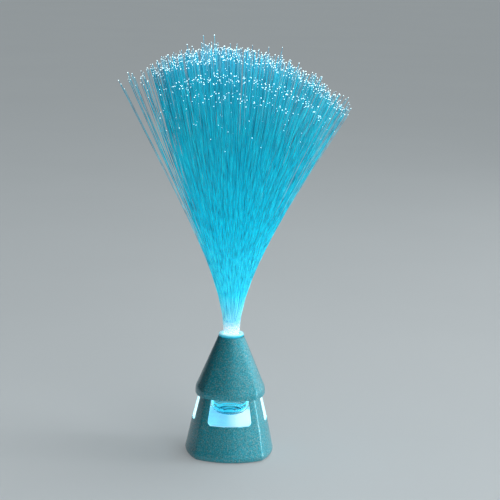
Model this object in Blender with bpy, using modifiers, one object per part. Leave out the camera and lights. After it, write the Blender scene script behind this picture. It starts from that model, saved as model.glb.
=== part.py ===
"""Battery fiber optic lamp: a tapered base with windows, a cone cover, a glowing collar and a fan.

Lengths are in metres and +Z is up. The origin is on the floor, under the lamp's upright axis.
The front window faces -Y.
"""

import math
import random

import bmesh
import bpy
from mathutils import Matrix, Vector

MM = 0.001
LAMP = "fiber_optic_lamp"

# Fits shared by all pieces
SEAT_GAP = 0.3 * MM
OVERRUN = 3.0 * MM
MERGE = 0.01 * MM
UPWARD = 0.5

# Bulged square section: one arc for each side and one for each corner
SIDE_ARC_SHARE = 1.397
CORNER_ARC_SHARE = 0.184
SIDE_STEPS = 6
CORNER_STEPS = 3

# Lower housing
BASE_SIDE_ROOM = 10.7 * MM
BASE_FILLET = 6.0 * MM
BASE_FILLET_STEPS = 3
HOUSING_BOTTOM_Z = 1.0 * MM
HOUSING_WALL = 2.0 * MM
BOARD_ROOM = 1.7 * MM
NECK_Z = 54.5 * MM
HOUSING_LIP_HEIGHT = 8.6 * MM
BASE_PROFILE_SHARES = ((0.11, 0.894), (0.46, 0.575), (0.81, 0.212))

# Windows and their panes
WINDOW_SILL_RISE = 1.6 * MM
WINDOW_HEAD_RISE = 2.7 * MM
WINDOW_WIDTH_SHARE = 0.57
SIDE_WINDOW_WIDTH_SHARE = 0.40
WINDOW_CORNER = 3.2 * MM
WINDOW_CORNER_STEPS = 3
PANE_THICKNESS = 1.2 * MM
PANE_LAP = 1.2 * MM
PANE_EDGE_ANGLE = math.radians(29.5)
PANE_COLUMNS = 6

# Cone cover
CONE_RIM_DROP = 1.6 * MM
CONE_RIM_ROOM = 1.4 * MM
CONE_RIM_LIP = 0.4 * MM
CONE_SHOULDER_HEIGHT = 8.7 * MM
CONE_SHOULDER_INWARD = 1.7 * MM
CONE_WALL = 2.0 * MM
CONE_HEIGHT = 49.5 * MM
CONE_TOP_ROOM = 0.5 * MM
CONE_ROWS = 5
CONE_SHOULDER_SHARES = ((0.07, 0.0), (0.31, 0.0), (0.55, 0.12), (0.78, 0.47), (1.0, 1.0))

# Collar ring
COLLAR_INSET = 0.3 * MM
COLLAR_HEIGHT = 2.3 * MM
COLLAR_EDGE = 1.0 * MM
COLLAR_EDGE_STEPS = 2
COLLAR_SPIGOT_LENGTH = 6.0 * MM
COLLAR_SPIGOT_WALL = 0.8 * MM

# Fibre bundle
FERRULE_RADIUS = 7.3 * MM
FERRULE_WALL = 0.35 * MM
FERRULE_LENGTH = 19.5 * MM
FERRULE_SINK = 1.5 * MM
SLICE_THICKNESS = 2.0 * MM
SLICE_SINK = 2.5 * MM
FIBRE_PITCH = 0.95 * MM
FIBRE_INSET = 0.11 * MM

# Fan of fibres
FIBRE_LENGTH = 243.0 * MM
FIBRE_LEAN = math.radians(32.0)
LEAN_BUILD_SHARE = 0.22
EDGE_LENGTH_SHARE = 0.92
TIP_SLOPE_SHARE = 0.04
LEFT_SPREAD_SHARE = 0.46
DEPTH_SPREAD_SHARE = 0.85
OUTLIER_POWER = 5
LENGTH_JITTER = 5.0 * MM
SHORT_FIBRE_SHARES = (0.80, 0.96)
SHORT_FIBRE_CHANCE = 0.12
TIP_DRIFT = 2.4 * MM
RING_SHARES = (0.12, 0.32, 1.0)
PATH_STEPS = 25
TRIANGLE_SIDES = 3
FAN_SEED = 14

# Collar socket and light engine
SOCKET_WALL = 1.0 * MM
SOCKET_LEDGE = 1.6 * MM
SOCKET_FLANGE_WIDTH = 3.4 * MM
SOCKET_FLANGE_THICKNESS = 1.6 * MM
BOARD_LAP = 3.3 * MM
BOARD_THICKNESS = 1.6 * MM
CHAMBER_LED_SIZE = 5.0 * MM
CHAMBER_LED_HEIGHT = 2.0 * MM
FIBRE_LED_RADIUS = 2.5 * MM
FIBRE_LED_HEIGHT = 6.0 * MM

# Lens and its holder
HOLDER_PLATE_DROP = 2.6 * MM
HOLDER_PLATE_THICKNESS = 1.8 * MM
HOLDER_SKIRT_HEIGHT = 1.2 * MM
HOLDER_RING_HEIGHT = 3.6 * MM
HOLDER_RING_WALL = 1.6 * MM
LENS_RADIUS = 15.8 * MM
LENS_DEPTH = 18.0 * MM
LENS_RIM_HEIGHT = 9.8 * MM
LENS_THICKNESS = 1.4 * MM
LENS_STEP = 0.5 * MM
LENS_STEP_SHARES = (0.30, 0.56, 0.80)
LENS_WALL_SHARE = 0.95
LENS_STEPS = 5
LED_STEPS = 5
LENS_SEAT_WIDTH = 2.0 * MM

# Light tray
TRAY_ROOM = 4.1 * MM
TRAY_THICKNESS = 1.5 * MM
TRAY_POST_X = 15.0 * MM
TRAY_POST_Y = 10.0 * MM
TRAY_POST_RADIUS = 2.0 * MM

# Bottom cover, battery well and door
COVER_THICKNESS = 2.4 * MM
WELL_WALL = 1.2 * MM
WELL_REAR_ROOM = 1.05 * MM
CELL_RADIUS = 5.25 * MM
CELL_LENGTH = 44.5 * MM
CELL_NUB_RADIUS = 1.9 * MM
CELL_NUB_LENGTH = 1.0 * MM
CELL_EDGE = 0.5 * MM
CELL_COUNT = 3
CONTACT_THICKNESS = 0.5 * MM
CONTACT_WIDTH = 7.6 * MM
SPRING_LENGTH = 4.8 * MM
SPRING_TURNS = 3
SPRING_WIRE_RADIUS = 0.3 * MM
SPRING_BASE_RADIUS = 3.6 * MM
SPRING_TIP_RADIUS = 2.2 * MM
SPRING_POINTS = 8
DOOR_PIN_RADIUS = 0.5 * MM
DOOR_PIN_LENGTH = 1.5 * MM
DOOR_TONGUE_HALF_WIDTH = 4.0 * MM
DOOR_TONGUE_RIM = 0.8 * MM
DOOR_TONGUE_STEP = 0.15 * MM
DOOR_GRIP_COUNT = 5
DOOR_EDGE_STEPS = 4
DOOR_GRIP_DEPTH = 0.4 * MM
DOOR_GRIP_WIDTH = 1.0 * MM
DOOR_GRIP_PITCH = 2.2 * MM
DOOR_GRIP_EDGE = 3.3 * MM
DOOR_GRIP_LENGTH = 12.0 * MM
DOOR_SCREW_RADIUS = 1.2 * MM
DOOR_SCREW_HEAD_RADIUS = 2.1 * MM
DOOR_SCREW_HEAD_HEIGHT = 1.0 * MM
DOOR_SCREW_REACH = 4.0 * MM
DOOR_SCREW_PLAY = 0.8 * MM
DOOR_BOSS_RADIUS = 2.9 * MM
DOOR_BOSS_HEIGHT = 6.0 * MM

# Housing screws and their bosses
BOSS_BITE = 1.1 * MM
BOSS_RADIUS = 3.2 * MM
BOSS_TOP_Z = 22.0 * MM
SCREW_RADIUS = 1.3 * MM
SCREW_HEAD_RADIUS = 2.7 * MM
SCREW_HEAD_HEIGHT = 1.3 * MM
SCREW_TIP_Z = 14.0 * MM
SCREW_SLOT_WIDTH = 0.6 * MM
SCREW_SLOT_DEPTH = 0.5 * MM
SCREW_TIP_TAPER = 0.3 * MM

# Foot pads
PAD_RADIUS = 3.6 * MM
PAD_HEIGHT = 1.8 * MM
PAD_X = 15.0 * MM
PAD_ROOM = 4.0 * MM
PAD_EDGE = 0.4 * MM

# Slide switch
SWITCH_ROOM = 1.25 * MM
SWITCH_LENGTH = 11.0 * MM
SWITCH_WIDTH = 5.0 * MM
SWITCH_HEIGHT = 5.0 * MM
KNOB_LENGTH = 4.0 * MM
KNOB_WIDTH = 3.0 * MM
KNOB_BOTTOM_Z = 1.3 * MM
KNOB_TRAVEL = 3.0 * MM
STEM_LENGTH = 2.4 * MM
STEM_WIDTH = 1.8 * MM
STEM_HEIGHT = 2.0 * MM
KNOB_RIB_DEPTH = 0.3 * MM
KNOB_RIB_WIDTH = 0.5 * MM

# Inner wires
WIRE_RADIUS = 0.6 * MM
WIRE_INSET = 1.2 * MM
WIRE_FOOT_ROOM = 3.0 * MM
WIRE_HOLE_PLAY = 0.9 * MM
WIRE_BEND = 3.0 * MM

# Facets of round pieces
ROUND_STEPS = 28
SMALL_STEPS = 12
CELL_STEPS = 14
PIN_STEPS = 10
SMOOTH_ANGLE = math.radians(35.0)


# Battery well and base, sized round the batteries
QUARTER = math.pi / 2.0
WELL_HALF_LENGTH = (CELL_LENGTH + SPRING_LENGTH + CONTACT_THICKNESS + 4.0 * SEAT_GAP) / 2.0
WELL_HALF_WIDTH = CELL_COUNT * CELL_RADIUS + (CELL_COUNT + 1) * SEAT_GAP / 2.0
BASE_HALF_WIDTH = WELL_HALF_LENGTH + WELL_WALL + BASE_SIDE_ROOM

# Neck and cone, sized round the lens and the fibre bundle
HOLDER_RING_RADIUS = LENS_RADIUS + SEAT_GAP + HOLDER_RING_WALL
BOARD_RADIUS = HOLDER_RING_RADIUS + BOARD_LAP
NECK_HALF_WIDTH = BOARD_RADIUS + BOARD_ROOM + PANE_THICKNESS + SEAT_GAP + HOUSING_WALL
CONE_RIM_HALF_WIDTH = NECK_HALF_WIDTH + CONE_RIM_ROOM + CONE_WALL
CONE_SHOULDER_HALF_WIDTH = CONE_RIM_HALF_WIDTH - CONE_SHOULDER_INWARD
SOCKET_BORE = FERRULE_RADIUS + SEAT_GAP
SLICE_RADIUS = FERRULE_RADIUS - FERRULE_WALL - SEAT_GAP
OUTER_ROOT = SLICE_RADIUS - FIBRE_PITCH / 2.0
CONE_TOP_RADIUS = SOCKET_BORE + COLLAR_SPIGOT_WALL + CONE_TOP_ROOM + CONE_WALL
COLLAR_RADIUS = CONE_TOP_RADIUS - COLLAR_INSET

# Heights, from the neck up
CONE_RIM_Z = NECK_Z - CONE_RIM_DROP
CONE_SHOULDER_Z = CONE_RIM_Z + CONE_SHOULDER_HEIGHT
CONE_TOP_Z = CONE_RIM_Z + CONE_HEIGHT
HOUSING_TOP_Z = NECK_Z + HOUSING_LIP_HEIGHT
COLLAR_TOP_Z = CONE_TOP_Z + SEAT_GAP + COLLAR_HEIGHT
FERRULE_TOP_Z = COLLAR_TOP_Z - FERRULE_SINK
FERRULE_BOTTOM_Z = FERRULE_TOP_Z - FERRULE_LENGTH
SLICE_TOP_Z = FERRULE_TOP_Z - SLICE_SINK

# Heights, from the neck down
HOLDER_PLATE_Z = NECK_Z - HOLDER_PLATE_DROP
HOLDER_TOP_Z = HOLDER_PLATE_Z + HOLDER_PLATE_THICKNESS
BOARD_BOTTOM_Z = HOLDER_TOP_Z + HOLDER_RING_HEIGHT + SEAT_GAP
BOARD_TOP_Z = BOARD_BOTTOM_Z + BOARD_THICKNESS
LENS_TOP_Z = HOLDER_PLATE_Z - SEAT_GAP
TRAY_TOP_Z = LENS_TOP_Z - LENS_DEPTH - TRAY_ROOM
TRAY_Z = TRAY_TOP_Z - TRAY_THICKNESS
WINDOW_SILL_Z = TRAY_TOP_Z + WINDOW_SILL_RISE
WINDOW_HEAD_Z = CONE_RIM_Z + WINDOW_HEAD_RISE

# Heights, from the floor up
COVER_Z = PAD_HEIGHT + SEAT_GAP
COVER_TOP_Z = COVER_Z + COVER_THICKNESS
WELL_TOP_Z = COVER_TOP_Z + 2.0 * CELL_RADIUS + 3.0 * SEAT_GAP
CELL_AXIS_Z = COVER_TOP_Z + SEAT_GAP + CELL_RADIUS
HINGE_Z = COVER_Z + COVER_THICKNESS / 2.0
DOOR_SCREW_TIP_Z = COVER_TOP_Z + DOOR_SCREW_REACH
WIRE_HOLE_RADIUS = WIRE_RADIUS + WIRE_HOLE_PLAY


def clear_scene():
    """Remove every object, so that the file holds only the lamp."""
    for item in list(bpy.data.objects):
        bpy.data.objects.remove(item, do_unlink=True)


def new_collection(name):
    """Add a collection to the scene."""
    made = bpy.data.collections.new(name)
    bpy.context.scene.collection.children.link(made)
    return made


def material(name, colour, roughness, metallic=0.0, glow=0.0, clear=0.0):
    """Make a Principled material, with a glow or a clear body where the piece has one."""
    made = bpy.data.materials.new(name)
    made.use_nodes = True
    shader = made.node_tree.nodes["Principled BSDF"]
    shader.inputs["Base Color"].default_value = (*colour, 1.0)
    shader.inputs["Roughness"].default_value = roughness
    shader.inputs["Metallic"].default_value = metallic
    shader.inputs["Transmission Weight"].default_value = clear
    shader.inputs["Emission Color"].default_value = (*colour, 1.0)
    shader.inputs["Emission Strength"].default_value = glow
    made.diffuse_color = (*colour, 1.0)
    return made


def place(item, collection):
    """Keep an object in one collection only."""
    for old in list(item.users_collection):
        old.objects.unlink(item)
    collection.objects.link(item)
    return item


def as_cutter(item):
    """Hide a Boolean's tool from renders and show it as wire."""
    item.hide_render = True
    item.display_type = "WIRE"
    return place(item, CUTTERS)


def as_piece(item, name, finish):
    """Name a finished piece and give it its material."""
    item.name = name
    item.data.name = name
    item.data.materials.clear()
    item.data.materials.append(finish)
    if item.type == "MESH":
        item.data.shade_smooth()
        item.data.set_sharp_from_angle(angle=SMOOTH_ANGLE)
    return place(item, PARTS)


def boolean(target, tool, operation):
    """Cut a tool from a piece, or join it to the piece."""
    modifier = target.modifiers.new(operation.lower(), "BOOLEAN")
    modifier.operation = operation
    modifier.object = as_cutter(tool)
    return target


def cut(target, tool):
    return boolean(target, tool, "DIFFERENCE")


def join(target, tool):
    return boolean(target, tool, "UNION")


def box(size, centre):
    """A box by its three sizes and its middle."""
    bpy.ops.mesh.primitive_cube_add(size=1.0)
    item = bpy.context.object
    item.data.transform(Matrix.Diagonal((*size, 1.0)))
    item.location = centre
    return item


def cylinder(radius, low_z, high_z, x=0.0, y=0.0, steps=SMALL_STEPS):
    """An upright cylinder between two heights."""
    bpy.ops.mesh.primitive_cylinder_add(radius=radius, depth=high_z - low_z, vertices=steps)
    item = bpy.context.object
    item.location = (x, y, (low_z + high_z) / 2.0)
    return item


def mesh_object(name, maker):
    """Make a mesh object and let maker fill its bmesh."""
    mesh = bpy.data.meshes.new(name)
    shape = bmesh.new()
    maker(shape)
    shape.to_mesh(mesh)
    shape.free()
    item = bpy.data.objects.new(name, mesh)
    bpy.context.scene.collection.objects.link(item)
    return item


def turned(profile, steps=ROUND_STEPS, ring=False):
    """Turn a profile of (radius, height) about Z; a ring's profile is closed on itself."""

    def draw(shape):
        corners = [shape.verts.new((radius, 0.0, height)) for radius, height in profile]
        for first, second in zip(corners, corners[1:]):
            shape.edges.new((first, second))
        if ring:
            shape.edges.new((corners[-1], corners[0]))

    item = mesh_object("turned", draw)
    screw = item.modifiers.new("turn", "SCREW")
    screw.steps = steps
    screw.render_steps = steps
    screw.use_merge_vertices = True
    screw.merge_threshold = MERGE
    return item


def mesh_from_curve(item):
    """Turn a curve object into a welded mesh object."""
    graph = bpy.context.evaluated_depsgraph_get()
    mesh = bpy.data.meshes.new_from_object(item.evaluated_get(graph))
    shape = bmesh.new()
    shape.from_mesh(mesh)
    bmesh.ops.remove_doubles(shape, verts=shape.verts, dist=MERGE)
    shape.to_mesh(mesh)
    shape.free()
    made = bpy.data.objects.new(item.name, mesh)
    made.matrix_world = item.matrix_world
    bpy.context.scene.collection.objects.link(made)
    bpy.data.objects.remove(item, do_unlink=True)
    return made


def outline_prism(points, thickness, turn):
    """A flat outline, thickened evenly about its plane, then turned."""
    curve = bpy.data.curves.new("outline", "CURVE")
    curve.dimensions = "2D"
    curve.fill_mode = "BOTH"
    curve.extrude = thickness / 2.0
    spline = curve.splines.new("POLY")
    spline.points.add(len(points) - 1)
    for point, (x, y) in zip(spline.points, points):
        point.co = (x, y, 0.0, 1.0)
    spline.use_cyclic_u = True
    item = bpy.data.objects.new("outline", curve)
    bpy.context.scene.collection.objects.link(item)
    item.matrix_world = turn
    bpy.context.view_layer.update()
    return mesh_from_curve(item)


def tube(points, radius, resolution=2):
    """A wire with flat ends along a list of points."""
    curve = bpy.data.curves.new("tube", "CURVE")
    curve.dimensions = "3D"
    curve.bevel_depth = radius
    curve.bevel_resolution = resolution
    curve.use_fill_caps = True
    spline = curve.splines.new("POLY")
    spline.points.add(len(points) - 1)
    for point, place_at in zip(spline.points, points):
        point.co = (*place_at, 1.0)
    item = bpy.data.objects.new("tube", curve)
    bpy.context.scene.collection.objects.link(item)
    return item


def corner_centre_share():
    """Where a corner arc's centre lies, so that it runs smoothly into the side arcs."""
    back = SIDE_ARC_SHARE - 1.0
    apart = SIDE_ARC_SHARE - CORNER_ARC_SHARE
    return (-back + math.sqrt(2.0 * apart ** 2 - back ** 2)) / 2.0


CORNER_CENTRE_SHARE = corner_centre_share()
SWITCH_ANGLE = math.atan2(CORNER_CENTRE_SHARE, CORNER_CENTRE_SHARE + SIDE_ARC_SHARE - 1.0)
CORNER_REACH_SHARE = CORNER_CENTRE_SHARE + CORNER_ARC_SHARE * math.cos(QUARTER / 2.0)


def square_point(angle):
    """The point of a bulged square of half width 1 whose outward normal has this angle."""
    turn = round(angle / QUARTER)
    local = angle - turn * QUARTER
    if abs(local) <= SWITCH_ANGLE:
        out = 1.0 - SIDE_ARC_SHARE + SIDE_ARC_SHARE * math.cos(local)
        along = SIDE_ARC_SHARE * math.sin(local)
    else:
        out = CORNER_CENTRE_SHARE + CORNER_ARC_SHARE * math.cos(local)
        along = math.copysign(CORNER_CENTRE_SHARE, local) + CORNER_ARC_SHARE * math.sin(local)
    return Matrix.Rotation(turn * QUARTER, 2) @ Vector((out, along))


def section_angles():
    """Normal angles round a whole section, one set for each side and each corner."""
    angles = []
    for side in range(4):
        middle = side * QUARTER
        for step in range(SIDE_STEPS):
            angles.append(middle - SWITCH_ANGLE + 2.0 * SWITCH_ANGLE * step / SIDE_STEPS)
        for step in range(CORNER_STEPS):
            corner_span = QUARTER - 2.0 * SWITCH_ANGLE
            angles.append(middle + SWITCH_ANGLE + corner_span * step / CORNER_STEPS)
    return angles


def section(half_width, height, squareness=1.0, angles=None):
    """A level ring of points, from round at squareness 0 to the bulged square at 1."""
    ring = []
    for angle in angles or section_angles():
        flat = square_point(angle) * squareness
        flat += Vector((math.cos(angle), math.sin(angle))) * (1.0 - squareness)
        ring.append((flat.x * half_width, flat.y * half_width, height))
    return ring


def loft(rings, closed=True, capped=False):
    """Faces between rings of points, from the lowest ring up."""

    def draw(shape):
        rows = [[shape.verts.new(point) for point in ring] for ring in rings]
        count = len(rings[0])
        for lower, upper in zip(rows, rows[1:]):
            for first in range(count if closed else count - 1):
                second = (first + 1) % count
                shape.faces.new((lower[first], lower[second], upper[second], upper[first]))
        if capped:
            shape.faces.new(list(reversed(rows[0])))
            shape.faces.new(rows[-1])

    return mesh_object("loft", draw)


def shell(item, wall):
    """Give an open outer skin its wall, on the inner side."""
    solidify = item.modifiers.new("wall", "SOLIDIFY")
    solidify.thickness = wall
    solidify.offset = -1.0
    solidify.use_even_offset = True
    return item


def plate(half_width, low_z, high_z):
    """A flat plate with the lamp's bulged square outline."""
    return loft([section(half_width, low_z), section(half_width, high_z)], capped=True)


def base_rows():
    """The lower housing's outer profile as (height, half width), from the bottom up."""
    widest_z = HOUSING_BOTTOM_Z + BASE_FILLET * math.sin(QUARTER / 2.0)
    rows = []
    for step in range(BASE_FILLET_STEPS + 1):
        angle = QUARTER / 2.0 * (1.0 - step / BASE_FILLET_STEPS)
        height = widest_z - BASE_FILLET * math.sin(angle)
        rows.append((height, BASE_HALF_WIDTH - BASE_FILLET * (1.0 - math.cos(angle))))
    for height_share, width_share in BASE_PROFILE_SHARES:
        height = widest_z + (NECK_Z - widest_z) * height_share
        rows.append((height, NECK_HALF_WIDTH + (BASE_HALF_WIDTH - NECK_HALF_WIDTH) * width_share))
    rows.append((NECK_Z, NECK_HALF_WIDTH))
    lip_half_width = cone_half_width(HOUSING_TOP_Z) - (CONE_WALL + SEAT_GAP) * cone_stretch()
    rows.append((HOUSING_TOP_Z, lip_half_width))
    return rows


def cone_slope():
    """How fast the cone narrows with height, above its shoulder."""
    return (CONE_SHOULDER_HALF_WIDTH - CONE_TOP_RADIUS) / (CONE_TOP_Z - CONE_SHOULDER_Z)


def cone_stretch():
    """Level thickness of the sloped cone wall, as a multiple of its true thickness."""
    return math.hypot(1.0, cone_slope())


def cone_half_width(height):
    """Half width of the cone's straight outer flank at a height."""
    return CONE_SHOULDER_HALF_WIDTH - cone_slope() * (height - CONE_SHOULDER_Z)


def width_at(rows, height):
    """Half width at a height, read along a profile of (height, half width)."""
    for (low, low_width), (high, high_width) in zip(rows, rows[1:]):
        if low <= height <= high:
            return low_width + (high_width - low_width) * (height - low) / (high - low)
    raise ValueError("height is off the profile")


def base_stretch():
    """Level thickness of the leaning housing wall, as a multiple of its true thickness."""
    return math.hypot(1.0, (BASE_HALF_WIDTH - NECK_HALF_WIDTH) / (NECK_Z - HOUSING_BOTTOM_Z))


def room_at(height, inside=0.0):
    """Half width left inside the housing at a height, behind its wall and a further depth."""
    return width_at(base_rows(), height) - (HOUSING_WALL + inside) * base_stretch()


# Places in plan, from the corners of the base inward
COVER_HALF_WIDTH = base_rows()[0][1] - HOUSING_WALL - SEAT_GAP
HOLDER_HALF_WIDTH = room_at(HOLDER_TOP_Z, PANE_THICKNESS + 2.0 * SEAT_GAP)
BOSS_INSET = (BOSS_RADIUS - BOSS_BITE) * math.cos(QUARTER / 2.0)
BOSS_OFFSET = room_at(BOSS_TOP_Z) * CORNER_REACH_SHARE - BOSS_INSET
TRAY_WIRE = room_at(TRAY_TOP_Z) * CORNER_REACH_SHARE - WIRE_INSET
HOLDER_WIRE = room_at(HOLDER_TOP_Z) * CORNER_REACH_SHARE - WIRE_INSET
WIRE_FOOT_X = TRAY_POST_X - TRAY_POST_RADIUS - WIRE_FOOT_ROOM
PAD_Y = COVER_HALF_WIDTH - PAD_RADIUS - PAD_ROOM
WELL_CENTRE_Y = BOSS_OFFSET - BOSS_RADIUS - WELL_REAR_ROOM - WELL_WALL - WELL_HALF_WIDTH
HINGE_Y = WELL_CENTRE_Y + WELL_HALF_WIDTH - SEAT_GAP - COVER_THICKNESS / 2.0
DOOR_FRONT_Y = WELL_CENTRE_Y - WELL_HALF_WIDTH + SEAT_GAP
DOOR_HALF_LENGTH = WELL_HALF_LENGTH - SEAT_GAP
DOOR_SCREW_Y = DOOR_FRONT_Y - WELL_WALL - DOOR_BOSS_RADIUS + SEAT_GAP
DOOR_TONGUE_END_Y = DOOR_SCREW_Y - DOOR_SCREW_HEAD_RADIUS - DOOR_TONGUE_RIM
SWITCH_Y = DOOR_TONGUE_END_Y - SWITCH_ROOM - SWITCH_WIDTH / 2.0


def window_outline(width_share):
    """One window as seen square on: a wide sill with round corners and a narrower head."""
    rows = base_rows()
    sill_half = width_at(rows, WINDOW_SILL_Z) * width_share
    head_half = width_at(rows, WINDOW_HEAD_Z) * width_share
    points = []
    for side in (1.0, -1.0):
        centre_x = sill_half - WINDOW_CORNER
        centre_z = WINDOW_SILL_Z + WINDOW_CORNER
        arc = []
        for step in range(WINDOW_CORNER_STEPS + 1):
            angle = QUARTER * (step / WINDOW_CORNER_STEPS - 1.0)
            x = centre_x + WINDOW_CORNER * math.cos(angle)
            arc.append((x, centre_z + WINDOW_CORNER * math.sin(angle)))
        arc.append((head_half, WINDOW_HEAD_Z))
        if side < 0.0:
            arc = [(-x, z) for x, z in reversed(arc)]
        points.extend(arc)
    return points


def corners(offset_x, offset_y):
    """The four places at the same distance from both upright planes."""
    return [(x * offset_x, y * offset_y) for x in (1.0, -1.0) for y in (1.0, -1.0)]


def make_lower_housing():
    housing = shell(loft([section(half, height) for height, half in base_rows()]), HOUSING_WALL)
    through = 2.0 * (BASE_HALF_WIDTH + OVERRUN)
    upright = Matrix.Rotation(QUARTER, 4, "X")
    for turn, width_share in ((0.0, WINDOW_WIDTH_SHARE), (QUARTER, SIDE_WINDOW_WIDTH_SHARE)):
        facing = Matrix.Rotation(turn, 4, "Z") @ upright
        cut(housing, outline_prism(window_outline(width_share), through, facing))
    for x, y in corners(BOSS_OFFSET, BOSS_OFFSET):
        join(housing, cylinder(BOSS_RADIUS, COVER_TOP_Z + SEAT_GAP, BOSS_TOP_Z, x, y))
        hole_top = SCREW_TIP_Z + SEAT_GAP
        cut(housing, cylinder(SCREW_RADIUS + SEAT_GAP, COVER_Z, hole_top, x, y))
    return as_piece(housing, "lower_housing", SILVER)


def make_window_panes():
    rows = base_rows()
    low_z = WINDOW_SILL_Z - PANE_LAP
    high_z = WINDOW_HEAD_Z + PANE_LAP
    heights = [low_z] + [height for height, half in rows if low_z < height < high_z] + [high_z]
    for turn, name in enumerate(("right", "rear", "left", "front")):
        angles = []
        for step in range(PANE_COLUMNS + 1):
            sweep = PANE_EDGE_ANGLE * (2.0 * step / PANE_COLUMNS - 1.0)
            angles.append(turn * QUARTER + sweep)
        rings = [section(room_at(height, SEAT_GAP), height, angles=angles) for height in heights]
        as_piece(shell(loft(rings, closed=False), PANE_THICKNESS), "window_pane_" + name, CLEAR)


def cone_rows():
    """The cone's outer profile as (height, half width, squareness), from the rim up."""
    rows = [(CONE_RIM_Z, CONE_RIM_HALF_WIDTH - CONE_RIM_LIP, 1.0)]
    for height_share, inward_share in CONE_SHOULDER_SHARES:
        inward = (CONE_RIM_HALF_WIDTH - CONE_SHOULDER_HALF_WIDTH) * inward_share
        height = CONE_RIM_Z + CONE_SHOULDER_HEIGHT * height_share
        rows.append((height, CONE_RIM_HALF_WIDTH - inward, 1.0))
    for row in range(1, CONE_ROWS + 1):
        share = row / CONE_ROWS
        height = CONE_SHOULDER_Z + (CONE_TOP_Z - CONE_SHOULDER_Z) * share
        rows.append((height, cone_half_width(height), 1.0 - share))
    return rows


def make_upper_cone():
    rings = [section(half, height, squareness) for height, half, squareness in cone_rows()]
    return as_piece(shell(loft(rings), CONE_WALL), "upper_cone", SILVER)


def make_collar():
    """The clear ring round the foot of the fibres, with a spigot down into the cone."""
    spigot = SOCKET_BORE + COLLAR_SPIGOT_WALL
    low = CONE_TOP_Z + SEAT_GAP
    profile = [
        (SOCKET_BORE, COLLAR_TOP_Z - COLLAR_EDGE / 2.0),
        (SOCKET_BORE + COLLAR_EDGE / 2.0, COLLAR_TOP_Z),
    ]
    for step in range(COLLAR_EDGE_STEPS + 1):
        angle = QUARTER * step / COLLAR_EDGE_STEPS
        out = COLLAR_RADIUS - COLLAR_EDGE * (1.0 - math.sin(angle))
        profile.append((out, COLLAR_TOP_Z - COLLAR_EDGE * (1.0 - math.cos(angle))))
    profile.append((COLLAR_RADIUS, low + COLLAR_EDGE / 2.0))
    profile.append((COLLAR_RADIUS - COLLAR_EDGE / 2.0, low))
    profile.append((spigot, low))
    profile.append((spigot, CONE_TOP_Z - COLLAR_SPIGOT_LENGTH))
    profile.append((SOCKET_BORE, CONE_TOP_Z - COLLAR_SPIGOT_LENGTH))
    return as_piece(turned(profile, ring=True), "collar_ring", GLOW_CLEAR)


def make_bundle_socket():
    """The tube that carries the fibre bundle over its light, with a ledge that stops it."""
    low = BOARD_TOP_Z + SEAT_GAP
    high = CONE_TOP_Z - COLLAR_SPIGOT_LENGTH - SEAT_GAP
    ledge_z = FERRULE_BOTTOM_Z - SEAT_GAP
    outer = SOCKET_BORE + SOCKET_WALL
    profile = [
        (SOCKET_BORE - SOCKET_LEDGE, low),
        (SOCKET_BORE - SOCKET_LEDGE, ledge_z),
        (SOCKET_BORE, ledge_z),
        (SOCKET_BORE, high),
        (outer, high),
        (outer, low + SOCKET_FLANGE_THICKNESS),
        (outer + SOCKET_FLANGE_WIDTH, low + SOCKET_FLANGE_THICKNESS),
        (outer + SOCKET_FLANGE_WIDTH, low),
    ]
    return as_piece(turned(profile, ring=True), "bundle_socket", BLACK)


def make_ferrule():
    inner = FERRULE_RADIUS - FERRULE_WALL
    profile = [
        (inner, FERRULE_BOTTOM_Z),
        (inner, FERRULE_TOP_Z),
        (FERRULE_RADIUS, FERRULE_TOP_Z),
        (FERRULE_RADIUS, FERRULE_BOTTOM_Z),
    ]
    return as_piece(turned(profile, ring=True), "fibre_ferrule", FERRULE)


def make_bundle_core():
    """The potted and polished lower end of all the fibres."""
    top = SLICE_TOP_Z - SLICE_THICKNESS - SEAT_GAP
    core = cylinder(SLICE_RADIUS, FERRULE_BOTTOM_Z, top, steps=ROUND_STEPS)
    return as_piece(core, "bundle_core", GLOW_CLEAR)


def fibre_stations(root, length):
    """Places along a fibre that leaves the slice at root, one for each step of its length."""
    reach = min(1.0, root.length / OUTER_ROOT)
    away = root.normalized() if root.length > MERGE else Vector((0.0, 0.0))
    hold = 0.0
    if away.x < 0.0:
        hold = (1.0 - LEFT_SPREAD_SHARE) * (1.0 - reach ** OUTLIER_POWER)
    step = length / PATH_STEPS
    build_length = LEAN_BUILD_SHARE * FIBRE_LENGTH
    stations = [Vector((root.x, root.y, SLICE_TOP_Z))]
    for index in range(PATH_STEPS):
        middle = (index + 1.0 / 2.0) * step
        lean = FIBRE_LEAN * reach * (1.0 - math.exp(-middle / build_length))
        across = math.sin(lean) * away.x * (1.0 - hold * middle / length)
        back = math.sin(lean) * away.y * DEPTH_SPREAD_SHARE
        rise = math.sqrt(1.0 - across ** 2 - back ** 2)
        stations.append(stations[-1] + Vector((across, back, rise)) * step)
    return stations


def root_lattice(shape):
    """Fill the slice's disc with equal triangles, one for each fibre."""
    rows = math.ceil(SLICE_RADIUS / FIBRE_PITCH) + 1
    row_pitch = FIBRE_PITCH * math.sin(2.0 * QUARTER / TRIANGLE_SIDES)
    found = {}
    for row in range(-2 * rows, 2 * rows + 1):
        for column in range(-2 * rows, 2 * rows + 1):
            x = (column + row / 2.0) * FIBRE_PITCH
            y = row * row_pitch
            if math.hypot(x, y) < SLICE_RADIUS + MERGE:
                found[row, column] = shape.verts.new((x, y, SLICE_TOP_Z))
    for row, column in list(found):
        for ring in (((0, 0), (0, 1), (1, 0)), ((0, 1), (1, 1), (1, 0))):
            keys = [(row + down, column + across) for down, across in ring]
            if all(key in found for key in keys):
                shape.faces.new([found[key] for key in keys])


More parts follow.
